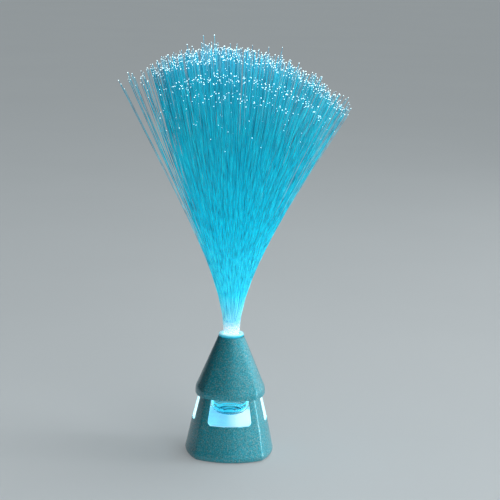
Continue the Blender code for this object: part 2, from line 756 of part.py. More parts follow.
def grow_fibre(shape, face, random_source):
    """Draw one fibre out of its triangle, ring by ring, along its path."""
    root = face.calc_center_median()
    reach = min(1.0, Vector((root.x, root.y)).length / OUTER_ROOT)
    length_share = 1.0 - (1.0 - EDGE_LENGTH_SHARE) * reach ** 2 - TIP_SLOPE_SHARE * root.x / OUTER_ROOT
    length = FIBRE_LENGTH * length_share
    length += random_source.uniform(-LENGTH_JITTER, LENGTH_JITTER)
    if random_source.random() < SHORT_FIBRE_CHANCE:
        length *= random_source.uniform(*SHORT_FIBRE_SHARES)
    drift_turn = random_source.uniform(0.0, 2.0 * math.pi)
    drift = Vector((math.cos(drift_turn), math.sin(drift_turn), 0.0)) * TIP_DRIFT
    stations = fibre_stations(Vector((root.x, root.y)), length)
    offsets = [corner.co - root for corner in face.verts]
    for share in RING_SHARES:
        index = round(share * PATH_STEPS)
        centre = stations[index] + drift * share ** 2
        heading = (stations[index] - stations[index - 1]).normalized()
        turn = Vector((0.0, 0.0, 1.0)).rotation_difference(heading)
        grown = bmesh.ops.extrude_discrete_faces(shape, faces=[face])
        face = grown["faces"][0]
        for corner, offset in zip(face.verts, offsets):
            corner.co = centre + turn @ offset


def make_fibre_spray():
    """All the fibres, grown from one slice of the potted bundle."""
    random_source = random.Random(FAN_SEED)

    def draw(shape):
        root_lattice(shape)
        loose = [corner for corner in shape.verts if not corner.link_faces]
        bmesh.ops.delete(shape, geom=loose, context="VERTS")
        top = list(shape.faces)
        below = bmesh.ops.extrude_face_region(shape, geom=top, use_keep_orig=True)["geom"]
        lowered = [item for item in below if isinstance(item, bmesh.types.BMVert)]
        bmesh.ops.translate(shape, verts=lowered, vec=(0.0, 0.0, -SLICE_THICKNESS))
        bottom = [item for item in below if isinstance(item, bmesh.types.BMFace)]
        bmesh.ops.dissolve_faces(shape, faces=bottom)
        bmesh.ops.recalc_face_normals(shape, faces=shape.faces)
        top = [face for face in shape.faces if face.normal.z > UPWARD]
        bmesh.ops.inset_individual(shape, faces=top, thickness=FIBRE_INSET)
        for face in top:
            grow_fibre(shape, face, random_source)

    return as_piece(mesh_object("fibre_spray", draw), "fibre_spray", FIBRE)


def make_light_engine():
    """The round board and its two lights, one up into the fibres and one down into the lens."""
    board = cylinder(BOARD_RADIUS, BOARD_BOTTOM_Z, BOARD_TOP_Z, steps=ROUND_STEPS)
    as_piece(board, "led_board", BOARD)
    centre_z = BOARD_BOTTOM_Z - SEAT_GAP - CHAMBER_LED_HEIGHT / 2.0
    chamber = box((CHAMBER_LED_SIZE, CHAMBER_LED_SIZE, CHAMBER_LED_HEIGHT), (0.0, 0.0, centre_z))
    as_piece(chamber, "chamber_led", LED)
    low = BOARD_TOP_Z + SEAT_GAP
    dome_z = low + FIBRE_LED_HEIGHT - FIBRE_LED_RADIUS
    profile = []
    for step in range(LED_STEPS + 1):
        angle = QUARTER * step / LED_STEPS
        height = dome_z + FIBRE_LED_RADIUS * math.cos(angle)
        profile.append((FIBRE_LED_RADIUS * math.sin(angle), height))
    profile.append((FIBRE_LED_RADIUS, low))
    profile.append((0.0, low))
    as_piece(turned(profile, SMALL_STEPS), "fibre_led", LED)


def make_lens_holder():
    """The ceiling of the light chamber: a plate, a ring under the board and a skirt round the lens."""
    top = HOLDER_TOP_Z
    holder = plate(HOLDER_HALF_WIDTH, HOLDER_PLATE_Z, top)
    inner = HOLDER_RING_RADIUS - HOLDER_RING_WALL
    ring_low = HOLDER_PLATE_Z - HOLDER_SKIRT_HEIGHT
    ring_high = BOARD_BOTTOM_Z - SEAT_GAP
    profile = [
        (inner, ring_low),
        (inner, ring_high),
        (HOLDER_RING_RADIUS, ring_high),
        (HOLDER_RING_RADIUS, ring_low),
    ]
    join(holder, turned(profile, ring=True))
    hole = LENS_RADIUS - LENS_SEAT_WIDTH
    cut(holder, cylinder(hole, HOLDER_PLATE_Z - OVERRUN, top + OVERRUN, steps=ROUND_STEPS))
    for x in (HOLDER_WIRE, -HOLDER_WIRE):
        cut(holder, cylinder(WIRE_HOLE_RADIUS, HOLDER_PLATE_Z - OVERRUN, top + OVERRUN, x, HOLDER_WIRE))
    return as_piece(holder, "lens_holder", WHITE)


def make_lens():
    """A clear bowl with three stepped rings inside."""
    top = LENS_TOP_Z
    rim_z = top - LENS_RIM_HEIGHT
    depth = LENS_DEPTH - LENS_RIM_HEIGHT
    inner_radius = LENS_RADIUS - LENS_THICKNESS
    inner_depth = depth - LENS_THICKNESS

    def inner_z(share):
        return rim_z - inner_depth * math.sqrt(max(0.0, 1.0 - share ** 2))

    profile = [(0.0, inner_z(0.0))]
    for share in LENS_STEP_SHARES:
        profile.append((inner_radius * share, inner_z(share)))
        profile.append((inner_radius * share, inner_z(share) + LENS_STEP))
    profile.append((inner_radius * LENS_WALL_SHARE, inner_z(LENS_WALL_SHARE)))
    profile.append((inner_radius, rim_z))
    profile.append((inner_radius, top))
    profile.append((LENS_RADIUS, top))
    for step in range(LENS_STEPS + 1):
        angle = QUARTER * step / LENS_STEPS
        profile.append((LENS_RADIUS * math.cos(angle), rim_z - depth * math.sin(angle)))
    profile[-1] = (0.0, rim_z - depth)
    return as_piece(turned(profile), "lens", CLEAR)


def make_light_tray():
    tray = plate(room_at(TRAY_TOP_Z, SEAT_GAP), TRAY_Z, TRAY_TOP_Z)
    for x in (TRAY_WIRE, -TRAY_WIRE):
        low = TRAY_Z - OVERRUN
        cut(tray, cylinder(WIRE_HOLE_RADIUS, low, TRAY_TOP_Z + OVERRUN, x, TRAY_WIRE))
    return as_piece(tray, "light_tray", TRAY)


def set_origin(item, centre):
    """Put an object's origin on its joint's axis without moving its surface."""
    shift = Vector(centre)
    item.data.transform(Matrix.Translation(Vector(item.location) - shift))
    item.location = shift
    return item


def lying_cylinder(radius, half_length, y, z, steps=SMALL_STEPS):
    """A cylinder along X, about the middle plane."""
    item = cylinder(radius, -half_length, half_length, steps=steps)
    item.data.transform(Matrix.Rotation(QUARTER, 4, "Y"))
    item.location = (0.0, y, z)
    return item


def make_bottom_cover():
    """The floor of the base with the battery well, tray posts, screw seats and switch slot."""
    cover = plate(COVER_HALF_WIDTH, COVER_Z, COVER_TOP_Z)
    roof_z = WELL_TOP_Z + WELL_WALL
    inside_z = COVER_Z + COVER_THICKNESS / 2.0
    well_x = 2.0 * (WELL_HALF_LENGTH + WELL_WALL)
    well_size = (well_x, 2.0 * (WELL_HALF_WIDTH + WELL_WALL), roof_z - inside_z)
    join(cover, box(well_size, (0.0, WELL_CENTRE_Y, (roof_z + inside_z) / 2.0)))
    post_low = roof_z - WELL_WALL / 2.0
    for x, y in corners(TRAY_POST_X, TRAY_POST_Y):
        join(cover, cylinder(TRAY_POST_RADIUS, post_low, TRAY_Z - SEAT_GAP, x, y + WELL_CENTRE_Y))
    boss_top = COVER_TOP_Z + DOOR_BOSS_HEIGHT
    join(cover, cylinder(DOOR_BOSS_RADIUS, inside_z, boss_top, y=DOOR_SCREW_Y))
    hollow_z = COVER_Z - OVERRUN
    hollow_size = (2.0 * WELL_HALF_LENGTH, 2.0 * WELL_HALF_WIDTH, WELL_TOP_Z - hollow_z)
    cut(cover, box(hollow_size, (0.0, WELL_CENTRE_Y, (WELL_TOP_Z + hollow_z) / 2.0)))
    tongue_end = DOOR_TONGUE_END_Y - SEAT_GAP
    tongue_in = DOOR_FRONT_Y + WELL_WALL
    tongue_top = COVER_TOP_Z + SEAT_GAP
    notch_x = 2.0 * (DOOR_TONGUE_HALF_WIDTH + SEAT_GAP)
    notch_size = (notch_x, tongue_in - tongue_end, tongue_top - hollow_z)
    cut(cover, box(notch_size, (0.0, (tongue_in + tongue_end) / 2.0, (tongue_top + hollow_z) / 2.0)))
    screw_hole = DOOR_SCREW_RADIUS + DOOR_SCREW_PLAY
    cut(cover, cylinder(screw_hole, COVER_Z, DOOR_SCREW_TIP_Z + SEAT_GAP, y=DOOR_SCREW_Y))
    socket_end = WELL_HALF_LENGTH + DOOR_PIN_LENGTH + SEAT_GAP
    cut(cover, lying_cylinder(DOOR_PIN_RADIUS + SEAT_GAP, socket_end, HINGE_Y, HINGE_Z, PIN_STEPS))
    for x, y in corners(BOSS_OFFSET, BOSS_OFFSET):
        seat_z = COVER_Z + SCREW_HEAD_HEIGHT + SEAT_GAP
        cut(cover, cylinder(SCREW_RADIUS + SEAT_GAP, hollow_z, COVER_TOP_Z + OVERRUN, x, y))
        cut(cover, cylinder(SCREW_HEAD_RADIUS + SEAT_GAP, hollow_z, seat_z, x, y))
    slot_x = KNOB_LENGTH + KNOB_TRAVEL + 2.0 * SEAT_GAP
    slot_size = (slot_x, KNOB_WIDTH + 2.0 * SEAT_GAP, COVER_THICKNESS + 2.0 * OVERRUN)
    cut(cover, box(slot_size, (0.0, SWITCH_Y, COVER_Z + COVER_THICKNESS / 2.0)))
    return as_piece(cover, "bottom_cover", BLACK)


def make_battery_door():
    """The door under the batteries: a rounded hinge edge with a pin, and a screwed tongue."""
    half_thickness = COVER_THICKNESS / 2.0
    points = [(DOOR_FRONT_Y, HINGE_Z + half_thickness), (DOOR_FRONT_Y, HINGE_Z - half_thickness)]
    for step in range(2 * DOOR_EDGE_STEPS + 1):
        angle = QUARTER * (step / DOOR_EDGE_STEPS - 1.0)
        y = HINGE_Y + half_thickness * math.cos(angle)
        points.append((y, HINGE_Z + half_thickness * math.sin(angle)))
    across = Matrix(((0.0, 0.0, 1.0), (1.0, 0.0, 0.0), (0.0, 1.0, 0.0))).to_4x4()
    door = outline_prism(points, 2.0 * DOOR_HALF_LENGTH, across)
    door.data.transform(across)
    door.matrix_world = Matrix.Identity(4)
    tongue_low = COVER_Z + DOOR_TONGUE_STEP
    tongue_high = COVER_TOP_Z - DOOR_TONGUE_STEP
    tongue_in = DOOR_FRONT_Y + OVERRUN
    tongue_size = (2.0 * DOOR_TONGUE_HALF_WIDTH, tongue_in - DOOR_TONGUE_END_Y, tongue_high - tongue_low)
    join(door, box(tongue_size, (0.0, (tongue_in + DOOR_TONGUE_END_Y) / 2.0, HINGE_Z)))
    pin_half = WELL_HALF_LENGTH + DOOR_PIN_LENGTH
    join(door, lying_cylinder(DOOR_PIN_RADIUS, pin_half, HINGE_Y, HINGE_Z, PIN_STEPS))
    recess_z = tongue_low + DOOR_SCREW_HEAD_HEIGHT + SEAT_GAP
    below = COVER_Z - OVERRUN
    cut(door, cylinder(DOOR_SCREW_RADIUS + SEAT_GAP, below, COVER_TOP_Z + OVERRUN, y=DOOR_SCREW_Y))
    cut(door, cylinder(DOOR_SCREW_HEAD_RADIUS + SEAT_GAP, below, recess_z, y=DOOR_SCREW_Y))
    for groove in range(DOOR_GRIP_COUNT):
        y = DOOR_FRONT_Y + DOOR_GRIP_EDGE + groove * DOOR_GRIP_PITCH
        height = DOOR_GRIP_DEPTH + OVERRUN
        low = COVER_Z + DOOR_GRIP_DEPTH - height
        cut(door, box((DOOR_GRIP_LENGTH, DOOR_GRIP_WIDTH, height), (0.0, y, low + height / 2.0)))
    set_origin(door, (0.0, HINGE_Y, HINGE_Z))
    return as_piece(door, "battery_door", BLACK)


def make_screw(name, place_at, head_z, head_radius, head_height, radius, tip_z):
    """A slotted screw, head down."""
    x, y = place_at
    profile = [
        (0.0, tip_z),
        (radius - SCREW_TIP_TAPER, tip_z),
        (radius, tip_z - SCREW_TIP_TAPER),
        (radius, head_z + head_height),
        (head_radius, head_z + head_height),
        (head_radius, head_z + SCREW_TIP_TAPER),
        (head_radius - SCREW_TIP_TAPER, head_z),
        (0.0, head_z),
    ]
    screw = turned(profile, SMALL_STEPS)
    screw.location = (x, y, 0.0)
    slot = box((2.0 * head_radius + OVERRUN, SCREW_SLOT_WIDTH, 2.0 * SCREW_SLOT_DEPTH), (x, y, head_z))
    cut(screw, slot)
    return as_piece(screw, name, STEEL)


def make_screws():
    """The screw of the battery door and the four that hold the base together."""
    tongue_low = COVER_Z + DOOR_TONGUE_STEP
    door_sizes = (DOOR_SCREW_HEAD_RADIUS, DOOR_SCREW_HEAD_HEIGHT, DOOR_SCREW_RADIUS)
    make_screw("door_screw", (0.0, DOOR_SCREW_Y), tongue_low, *door_sizes, DOOR_SCREW_TIP_Z)
    sizes = (SCREW_HEAD_RADIUS, SCREW_HEAD_HEIGHT, SCREW_RADIUS)
    for index, corner in enumerate(corners(BOSS_OFFSET, BOSS_OFFSET), start=1):
        make_screw("housing_screw_%d" % index, corner, COVER_Z, *sizes, SCREW_TIP_Z)


def make_foot_pads():
    for index, (x, y) in enumerate(corners(PAD_X, PAD_Y), start=1):
        profile = [
            (0.0, PAD_HEIGHT),
            (PAD_RADIUS, PAD_HEIGHT),
            (PAD_RADIUS, PAD_EDGE),
            (PAD_RADIUS - PAD_EDGE, 0.0),
            (0.0, 0.0),
        ]
        pad = turned(profile, SMALL_STEPS)
        pad.location = (x, y, 0.0)
        as_piece(pad, "foot_pad_%d" % index, RUBBER)


def cell_y(index):
    """Middle line of a battery, from the front one to the rear one."""
    pitch = 2.0 * CELL_RADIUS + SEAT_GAP
    return WELL_CENTRE_Y + (index - (CELL_COUNT - 1) / 2.0) * pitch


def make_cells():
    """Three batteries side by side, each turned against its neighbour, with plates and springs."""
    for index in range(CELL_COUNT):
        nub_side = 1.0 if index % 2 == 0 else -1.0
        y = cell_y(index)
        body_end = CELL_LENGTH - CELL_NUB_LENGTH
        profile = [
            (0.0, CELL_LENGTH),
            (CELL_NUB_RADIUS, CELL_LENGTH),
            (CELL_NUB_RADIUS, body_end),
            (CELL_RADIUS - CELL_EDGE, body_end),
            (CELL_RADIUS, body_end - CELL_EDGE),
            (CELL_RADIUS, CELL_EDGE),
            (CELL_RADIUS - CELL_EDGE, 0.0),
            (0.0, 0.0),
        ]
        cell = turned(profile, CELL_STEPS)
        nub_x = WELL_HALF_LENGTH - CONTACT_THICKNESS - 2.0 * SEAT_GAP
        cell.location = (nub_side * (nub_x - CELL_LENGTH), y, CELL_AXIS_Z)
        cell.rotation_euler = (0.0, nub_side * QUARTER, 0.0)
        as_piece(cell, "battery_cell_%d" % (index + 1), CELL)
        plate_x = WELL_HALF_LENGTH - SEAT_GAP - CONTACT_THICKNESS / 2.0
        contact_size = (CONTACT_THICKNESS, CONTACT_WIDTH, CONTACT_WIDTH)
        contact = box(contact_size, (nub_side * plate_x, y, CELL_AXIS_Z))
        as_piece(contact, "contact_plate_%d" % (index + 1), STEEL)
        make_spring(index, -nub_side, y)


def make_spring(index, side, y):
    """A cone spring, wide at the wall and narrow at the battery."""
    count = SPRING_TURNS * SPRING_POINTS
    wall_x = WELL_HALF_LENGTH - SEAT_GAP - SPRING_WIRE_RADIUS
    run = SPRING_LENGTH - 2.0 * SPRING_WIRE_RADIUS
    points = []
    for step in range(count + 1):
        share = step / count
        radius = SPRING_BASE_RADIUS + (SPRING_TIP_RADIUS - SPRING_BASE_RADIUS) * share
        angle = 2.0 * math.pi * step / SPRING_POINTS
        x = side * (wall_x - run * share)
        points.append((x, y + radius * math.cos(angle), CELL_AXIS_Z + radius * math.sin(angle)))
    as_piece(tube(points, SPRING_WIRE_RADIUS, 1), "contact_spring_%d" % (index + 1), STEEL)


def make_switch():
    """The slide switch: a body above the floor and a knob through it, at rest on the off side."""
    low = COVER_TOP_Z + SEAT_GAP
    body_size = (SWITCH_LENGTH, SWITCH_WIDTH, SWITCH_HEIGHT)
    body = box(body_size, (0.0, SWITCH_Y, low + SWITCH_HEIGHT / 2.0))
    slot_height = STEM_HEIGHT + SEAT_GAP + OVERRUN
    slot_size = (STEM_LENGTH + KNOB_TRAVEL + 2.0 * SEAT_GAP, STEM_WIDTH + 2.0 * SEAT_GAP, slot_height)
    slot_top = COVER_TOP_Z + STEM_HEIGHT + SEAT_GAP
    cut(body, box(slot_size, (0.0, SWITCH_Y, slot_top - slot_height / 2.0)))
    as_piece(body, "switch_body", BLACK)
    rest_x = -KNOB_TRAVEL / 2.0
    knob_height = COVER_TOP_Z - KNOB_BOTTOM_Z
    knob_size = (KNOB_LENGTH, KNOB_WIDTH, knob_height)
    knob = box(knob_size, (rest_x, SWITCH_Y, KNOB_BOTTOM_Z + knob_height / 2.0))
    stem_low = COVER_TOP_Z - knob_height / 2.0
    stem_height = COVER_TOP_Z + STEM_HEIGHT - stem_low
    stem_size = (STEM_LENGTH, STEM_WIDTH, stem_height)
    join(knob, box(stem_size, (rest_x, SWITCH_Y, stem_low + stem_height / 2.0)))
    for groove in (-1.0, 0.0, 1.0):
        x = rest_x + groove * 2.0 * KNOB_RIB_WIDTH
        groove_size = (KNOB_RIB_WIDTH, KNOB_WIDTH + OVERRUN, 2.0 * KNOB_RIB_DEPTH)
        cut(knob, box(groove_size, (x, SWITCH_Y, KNOB_BOTTOM_Z)))
    as_piece(knob, "switch_knob", WHITE)


def make_wires():
    """Two wires from the battery side up the rear corners, past the windows, to the board."""
    board_reach = (HOLDER_RING_RADIUS + BOARD_RADIUS) / 2.0 / math.sqrt(2.0)
    for side, name, finish in ((1.0, "wire_red", RED), (-1.0, "wire_black", BLACK)):
        low = WELL_TOP_Z + WELL_WALL + SEAT_GAP
        high = BOARD_BOTTOM_Z - SEAT_GAP
        foot_y = WELL_CENTRE_Y + TRAY_POST_Y
        route = [
            (WIRE_FOOT_X, foot_y, low),
            (WIRE_FOOT_X, foot_y, low + WIRE_BEND),
            (TRAY_WIRE, TRAY_WIRE, TRAY_Z - WIRE_BEND),
            (TRAY_WIRE, TRAY_WIRE, TRAY_TOP_Z),
            (HOLDER_WIRE, HOLDER_WIRE, HOLDER_PLATE_Z),
            (HOLDER_WIRE, HOLDER_WIRE, HOLDER_TOP_Z + WIRE_BEND / 2.0),
            (board_reach, board_reach, high - WIRE_BEND / 2.0),
            (board_reach, board_reach, high),
        ]
        points = [(side * x, y, z) for x, y, z in route]
        as_piece(tube(points, WIRE_RADIUS), name, finish)


clear_scene()
PARTS = new_collection(LAMP)
CUTTERS = new_collection("cutters")
SILVER = material("silver_paint", (0.55, 0.60, 0.62), 0.38, metallic=0.85)
CLEAR = material("clear_plastic", (0.85, 0.92, 0.95), 0.08, clear=0.9)
GLOW_CLEAR = material("glowing_clear_plastic", (0.35, 0.85, 0.95), 0.15, glow=0.8, clear=0.4)
FIBRE = material("fibre_plastic", (0.25, 0.75, 0.95), 0.2, glow=0.6)
FERRULE = material("ferrule_plastic", (0.85, 0.88, 0.90), 0.4)
TRAY = material("tray_plastic", (0.80, 0.92, 0.95), 0.5, glow=0.4)
WHITE = material("white_plastic", (0.82, 0.84, 0.85), 0.45)
BLACK = material("black_plastic", (0.03, 0.03, 0.035), 0.5)
BOARD = material("circuit_board", (0.85, 0.87, 0.86), 0.5)
LED = material("light_chip", (0.9, 0.95, 1.0), 0.2, glow=2.0)
STEEL = material("plated_steel", (0.62, 0.62, 0.60), 0.3, metallic=1.0)
RUBBER = material("foot_rubber", (0.05, 0.05, 0.05), 0.8)
CELL = material("battery_sleeve", (0.10, 0.12, 0.16), 0.4)
RED = material("red_wire", (0.6, 0.05, 0.04), 0.5)

make_lower_housing()
make_window_panes()
make_upper_cone()
make_collar()
make_bundle_socket()
make_ferrule()
make_bundle_core()
make_fibre_spray()
make_light_engine()
make_lens_holder()
make_lens()
make_light_tray()
make_bottom_cover()
make_battery_door()
make_screws()
make_foot_pads()
make_cells()
make_switch()
make_wires()
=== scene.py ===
"""Looks of the battery fiber optic lamp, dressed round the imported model.

Lengths are in metres and +Z is up. The origin is on the floor, under the lamp's upright axis.
The front window faces -Y.
"""

import math
import random

import bmesh
import bpy
from mathutils import Matrix, Vector


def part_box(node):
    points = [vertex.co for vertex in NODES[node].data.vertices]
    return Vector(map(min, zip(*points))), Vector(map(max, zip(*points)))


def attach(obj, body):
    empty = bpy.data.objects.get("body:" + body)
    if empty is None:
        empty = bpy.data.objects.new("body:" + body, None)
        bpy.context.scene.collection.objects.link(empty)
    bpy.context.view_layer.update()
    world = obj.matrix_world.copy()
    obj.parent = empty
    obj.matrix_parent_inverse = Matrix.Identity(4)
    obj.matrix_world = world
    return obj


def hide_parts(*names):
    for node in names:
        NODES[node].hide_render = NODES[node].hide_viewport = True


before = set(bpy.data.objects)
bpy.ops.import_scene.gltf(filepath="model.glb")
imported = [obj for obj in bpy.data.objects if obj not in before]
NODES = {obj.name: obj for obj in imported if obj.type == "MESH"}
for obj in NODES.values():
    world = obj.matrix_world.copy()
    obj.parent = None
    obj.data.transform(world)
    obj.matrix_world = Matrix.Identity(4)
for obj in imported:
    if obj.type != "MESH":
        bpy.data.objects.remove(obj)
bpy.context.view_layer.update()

MM = 0.001
QUARTER = math.pi / 2.0
FULL_TURN = 4.0 * QUARTER
IMAGE_SIZE = 500.0
SENSOR = 36.0

# Camera, at the photo's viewing angle
CAMERA_DISTANCE = 1.45
CAMERA_HEIGHT = 0.480
CAMERA_FOCAL_PIXELS = 1768.4
CAMERA_PITCH = math.radians(11.83)
CAMERA_ROLL = math.radians(1.2)
AXIS_PIXEL = 233.1

# Bulged square section: one arc for each side and one for each corner
SIDE_ARC_SHARE = 1.397
CORNER_ARC_SHARE = 0.184
CORNER_CENTRE_SHARE = 0.63584
SWITCH_ANGLE = math.atan2(CORNER_CENTRE_SHARE, CORNER_CENTRE_SHARE + SIDE_ARC_SHARE - 1.0)
SIDE_STEPS = 26
CORNER_STEPS = 12

# How finely shapes are drawn
ROUND_STEPS = 96
LENS_STEPS = 112
BEAD_STEPS = 48
TUBE_RESOLUTION = 3
FILLET_STEPS = 8
BASE_ROW_STEPS = 10
CONE_KNOTS = 5
CONE_ROW_STEPS = 6
WINDOW_CORNER_STEPS = 7
WINDOW_EDGE_STEPS = 8
SHEET_COLUMNS = 24
SHEET_ROWS = 12
TINY = 1e-7

# Base and cone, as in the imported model
SEAT_GAP = 0.3 * MM
HOUSING_BOTTOM_Z = 1.0 * MM
BASE_HALF_WIDTH = 37.4 * MM
BASE_FILLET = 6.0 * MM
NECK_Z = 54.5 * MM
NECK_HALF_WIDTH = 26.2 * MM
BASE_PROFILE_SHARES = ((0.11, 0.894), (0.46, 0.575), (0.81, 0.212))
HOUSING_TOP_Z = 63.1 * MM
HOUSING_WALL = 2.0 * MM
CONE_RIM_Z = 52.9 * MM
CONE_RIM_HALF_WIDTH = 29.6 * MM
CONE_RIM_LIP = 0.4 * MM
CONE_RIM_ROUND = 0.15 * MM
CONE_SHOULDER_HEIGHT = 8.7 * MM
CONE_SHOULDER_HALF_WIDTH = 27.9 * MM
CONE_SHOULDER_SHARES = ((0.07, 0.0), (0.31, 0.0), (0.55, 0.12), (0.78, 0.47), (1.0, 1.0))
CONE_TOP_Z = 102.4 * MM
CONE_TOP_RADIUS = 10.9 * MM
CONE_WALL = 2.0 * MM
WINDOW_SILL_Z = 31.1 * MM
WINDOW_WIDTH_SHARE = 0.57
SIDE_WINDOW_WIDTH_SHARE = 0.40
WINDOW_CORNER = 3.2 * MM

# Edges, cutters and window panes
BASE_EDGE = 0.25 * MM
CONE_EDGE = 0.3 * MM
MOULDED_EDGE = 0.18 * MM
CUTTER_START = 10.0 * MM
CUTTER_REACH = 60.0 * MM
WINDOW_TOP_ROOM = 5.0 * MM
LIP_TOP_ROOM = 1.0 * MM
PANE_THICKNESS = 1.2 * MM
PANE_INSET = 2.35 * MM
PANE_EDGE = 0.15 * MM
PLUG_SINK = 0.35 * MM
PLUG_GAP = 0.12 * MM
PLUG_EDGE = 0.12 * MM
NEAR_ENOUGH = 0.05 * MM
EDGE_FACING = 0.45

# Lens: a bowl with steps inside, rings (radius, height, half thickness) and a bead (radius, height)
LENS_WALL = 1.4 * MM
LENS_RIM_HEIGHT = 9.8 * MM
LENS_EDGE = 0.2 * MM
LENS_MIDDLE_RISE = 0.3 * MM
LENS_STEP_SHARES = (0.30, 0.56, 0.80)
LENS_GROOVE_SHARE = 0.02
LENS_RISER_HEIGHT = 0.5 * MM
LENS_RISER_NEAR = 0.06 * MM
LENS_RISER_FAR = 0.26 * MM
LENS_TREAD_STEPS = 6
LENS_WALL_STEPS = 12
LENS_SKIN_STEPS = 24
LENS_RINGS = (
    (14.0 * MM, 44.6 * MM, 0.45 * MM),
    (12.9 * MM, 41.4 * MM, 0.30 * MM),
    (11.4 * MM, 39.0 * MM, 0.60 * MM),
    (9.6 * MM, 37.0 * MM, 0.70 * MM),
    (7.4 * MM, 36.2 * MM, 0.50 * MM),
    (5.2 * MM, 36.1 * MM, 0.60 * MM),
)
LENS_BEAD = (
    (0.0, 35.3 * MM),
    (2.4 * MM, 35.5 * MM),
    (3.0 * MM, 36.0 * MM),
    (2.6 * MM, 36.8 * MM),
    (1.5 * MM, 37.3 * MM),
    (0.0, 37.5 * MM),
)

# Collar, ferrule and fibres
COLLAR_RADIUS = 10.6 * MM
COLLAR_BORE = 7.6 * MM
COLLAR_LOW_Z = 102.7 * MM
COLLAR_TOP_Z = 105.0 * MM
COLLAR_SPIGOT_Z = 96.4 * MM
COLLAR_SPIGOT_RADIUS = 8.4 * MM
COLLAR_EDGE = 0.7 * MM
COLLAR_TOP_STEPS = 6
COLLAR_FOOT_STEPS = 4
SLEEVE_WALL = 0.35 * MM
SLEEVE_LIP = 0.12 * MM
SLICE_TOP_Z = 101.0 * MM
ROOT_RADIUS = 6.2 * MM
FIBRE_LENGTH = 243.0 * MM
FIBRE_LEAN = math.radians(32.0)
LEAN_BUILD_SHARE = 0.22
EDGE_LENGTH_SHARE = 0.92
TIP_SLOPE_SHARE = 0.04
LEFT_SPREAD_SHARE = 0.46
DEPTH_SPREAD_SHARE = 0.85
OUTLIER_POWER = 36
LENGTH_JITTER = 1.3 * MM
ROW_JITTER = 4.5 * MM
BLOCK_JITTER = 1.6 * MM
BLOCK_WIDTH = 0.6 * MM
SHORT_FIBRE_SHARES = (0.78, 0.98)
SHORT_FIBRE_CHANCE = 0.12
TALL_FIBRE_SHARES = (1.01, 1.045)
TALL_FIBRE_CHANCE = 0.04
STRAY_REACH = 0.70
STRAY_CHANCE = 0.07
TIP_DRIFT = 2.4 * MM
PATH_STEPS = 25
ROOT_PITCH = 0.29 * MM
ROW_GROUP = 0.95 * MM
ROW_BUNCHING = 0.22
FIBRE_RADIUS = 0.17 * MM
FIBRE_SIDES = 4
FIBRE_RINGS = (0, 2, 4, 6, 8, 11, 14, 18, 25)
TIP_RADIUS = 0.36 * MM
FAN_SEED = 11
FIBRE_SCATTER_SHARE = 0.08
TIP_DRIFT_SHARES = (0.3, 1.6)
TIP_SIZE_SHARES = (0.7, 1.25)
BEAD_CORNERS = ((0, 0, 1), (1, 0, 0), (0, 1, 0), (-1, 0, 0), (0, -1, 0), (0, 0, -1))
BEAD_FACES = ((0, 1, 2), (0, 2, 3), (0, 3, 4), (0, 4, 1), (5, 2, 1), (5, 3, 2), (5, 4, 3), (5, 1, 4))

# The apex that the streaks fan out from, heights that lit colours run between, and the tray's reach
FIBRE_APEX_Z = 85.0 * MM
FAN_TOP_Z = 355.0 * MM
TIP_LOW_Z = 200.0 * MM
COLLAR_GLOW_Z = 96.5 * MM
SLEEVE_LOW_Z = 84.0 * MM
SLEEVE_TOP_Z = 103.5 * MM
TRAY_REACH = 30.0 * MM
RING_LOW_Z = 34.0 * MM
RING_TOP_Z = 46.0 * MM
GLOW_LOW_Z = 30.0 * MM
GLOW_TOP_Z = 57.0 * MM
WALL_TOP_Z = 55.0 * MM


# Shapes

def mesh_piece(name, draw, smooth=True):
    """A new piece drawn in a bmesh."""
    mesh = bpy.data.meshes.new(name)
    shape = bmesh.new()
    draw(shape)
    shape.normal_update()
    for face in shape.faces:
        face.smooth = smooth
    shape.to_mesh(mesh)
    shape.free()
    item = bpy.data.objects.new(name, mesh)
    bpy.context.scene.collection.objects.link(item)
    return item


def apply_all(item):
    """Apply every modifier on a piece."""
    bpy.context.view_layer.update()
    graph = bpy.context.evaluated_depsgraph_get()
    final = bpy.data.meshes.new_from_object(item.evaluated_get(graph))
    old = item.data
    item.modifiers.clear()
    item.data = final
    final.name = item.name
    bpy.data.meshes.remove(old)


def square_point(angle):
    """The point of a bulged square of half width 1 whose outward normal has this angle."""
    turn = round(angle / QUARTER)
    local = angle - turn * QUARTER
    if abs(local) <= SWITCH_ANGLE:
        out = 1.0 - SIDE_ARC_SHARE + SIDE_ARC_SHARE * math.cos(local)
        along = SIDE_ARC_SHARE * math.sin(local)
    else:
        out = CORNER_CENTRE_SHARE + CORNER_ARC_SHARE * math.cos(local)
        along = math.copysign(CORNER_CENTRE_SHARE, local) + CORNER_ARC_SHARE * math.sin(local)
    return Matrix.Rotation(turn * QUARTER, 2) @ Vector((out, along))


def section_angles():
    """The outward angles at which a bulged square is drawn."""
    angles = []
    for side in range(4):
        middle = side * QUARTER
        for step in range(SIDE_STEPS):
            angles.append(middle - SWITCH_ANGLE + 2.0 * SWITCH_ANGLE * step / SIDE_STEPS)
        span = QUARTER - 2.0 * SWITCH_ANGLE
        for step in range(CORNER_STEPS):
            angles.append(middle + SWITCH_ANGLE + span * step / CORNER_STEPS)
    return angles


def section(half_width, height, squareness=1.0):
    """A ring of points, from a circle at squareness 0 to a bulged square at 1."""
    ring = []
    for angle in section_angles():
        flat = square_point(angle) * squareness
        flat += Vector((math.cos(angle), math.sin(angle))) * (1.0 - squareness)
        ring.append((flat.x * half_width, flat.y * half_width, height))
    return ring


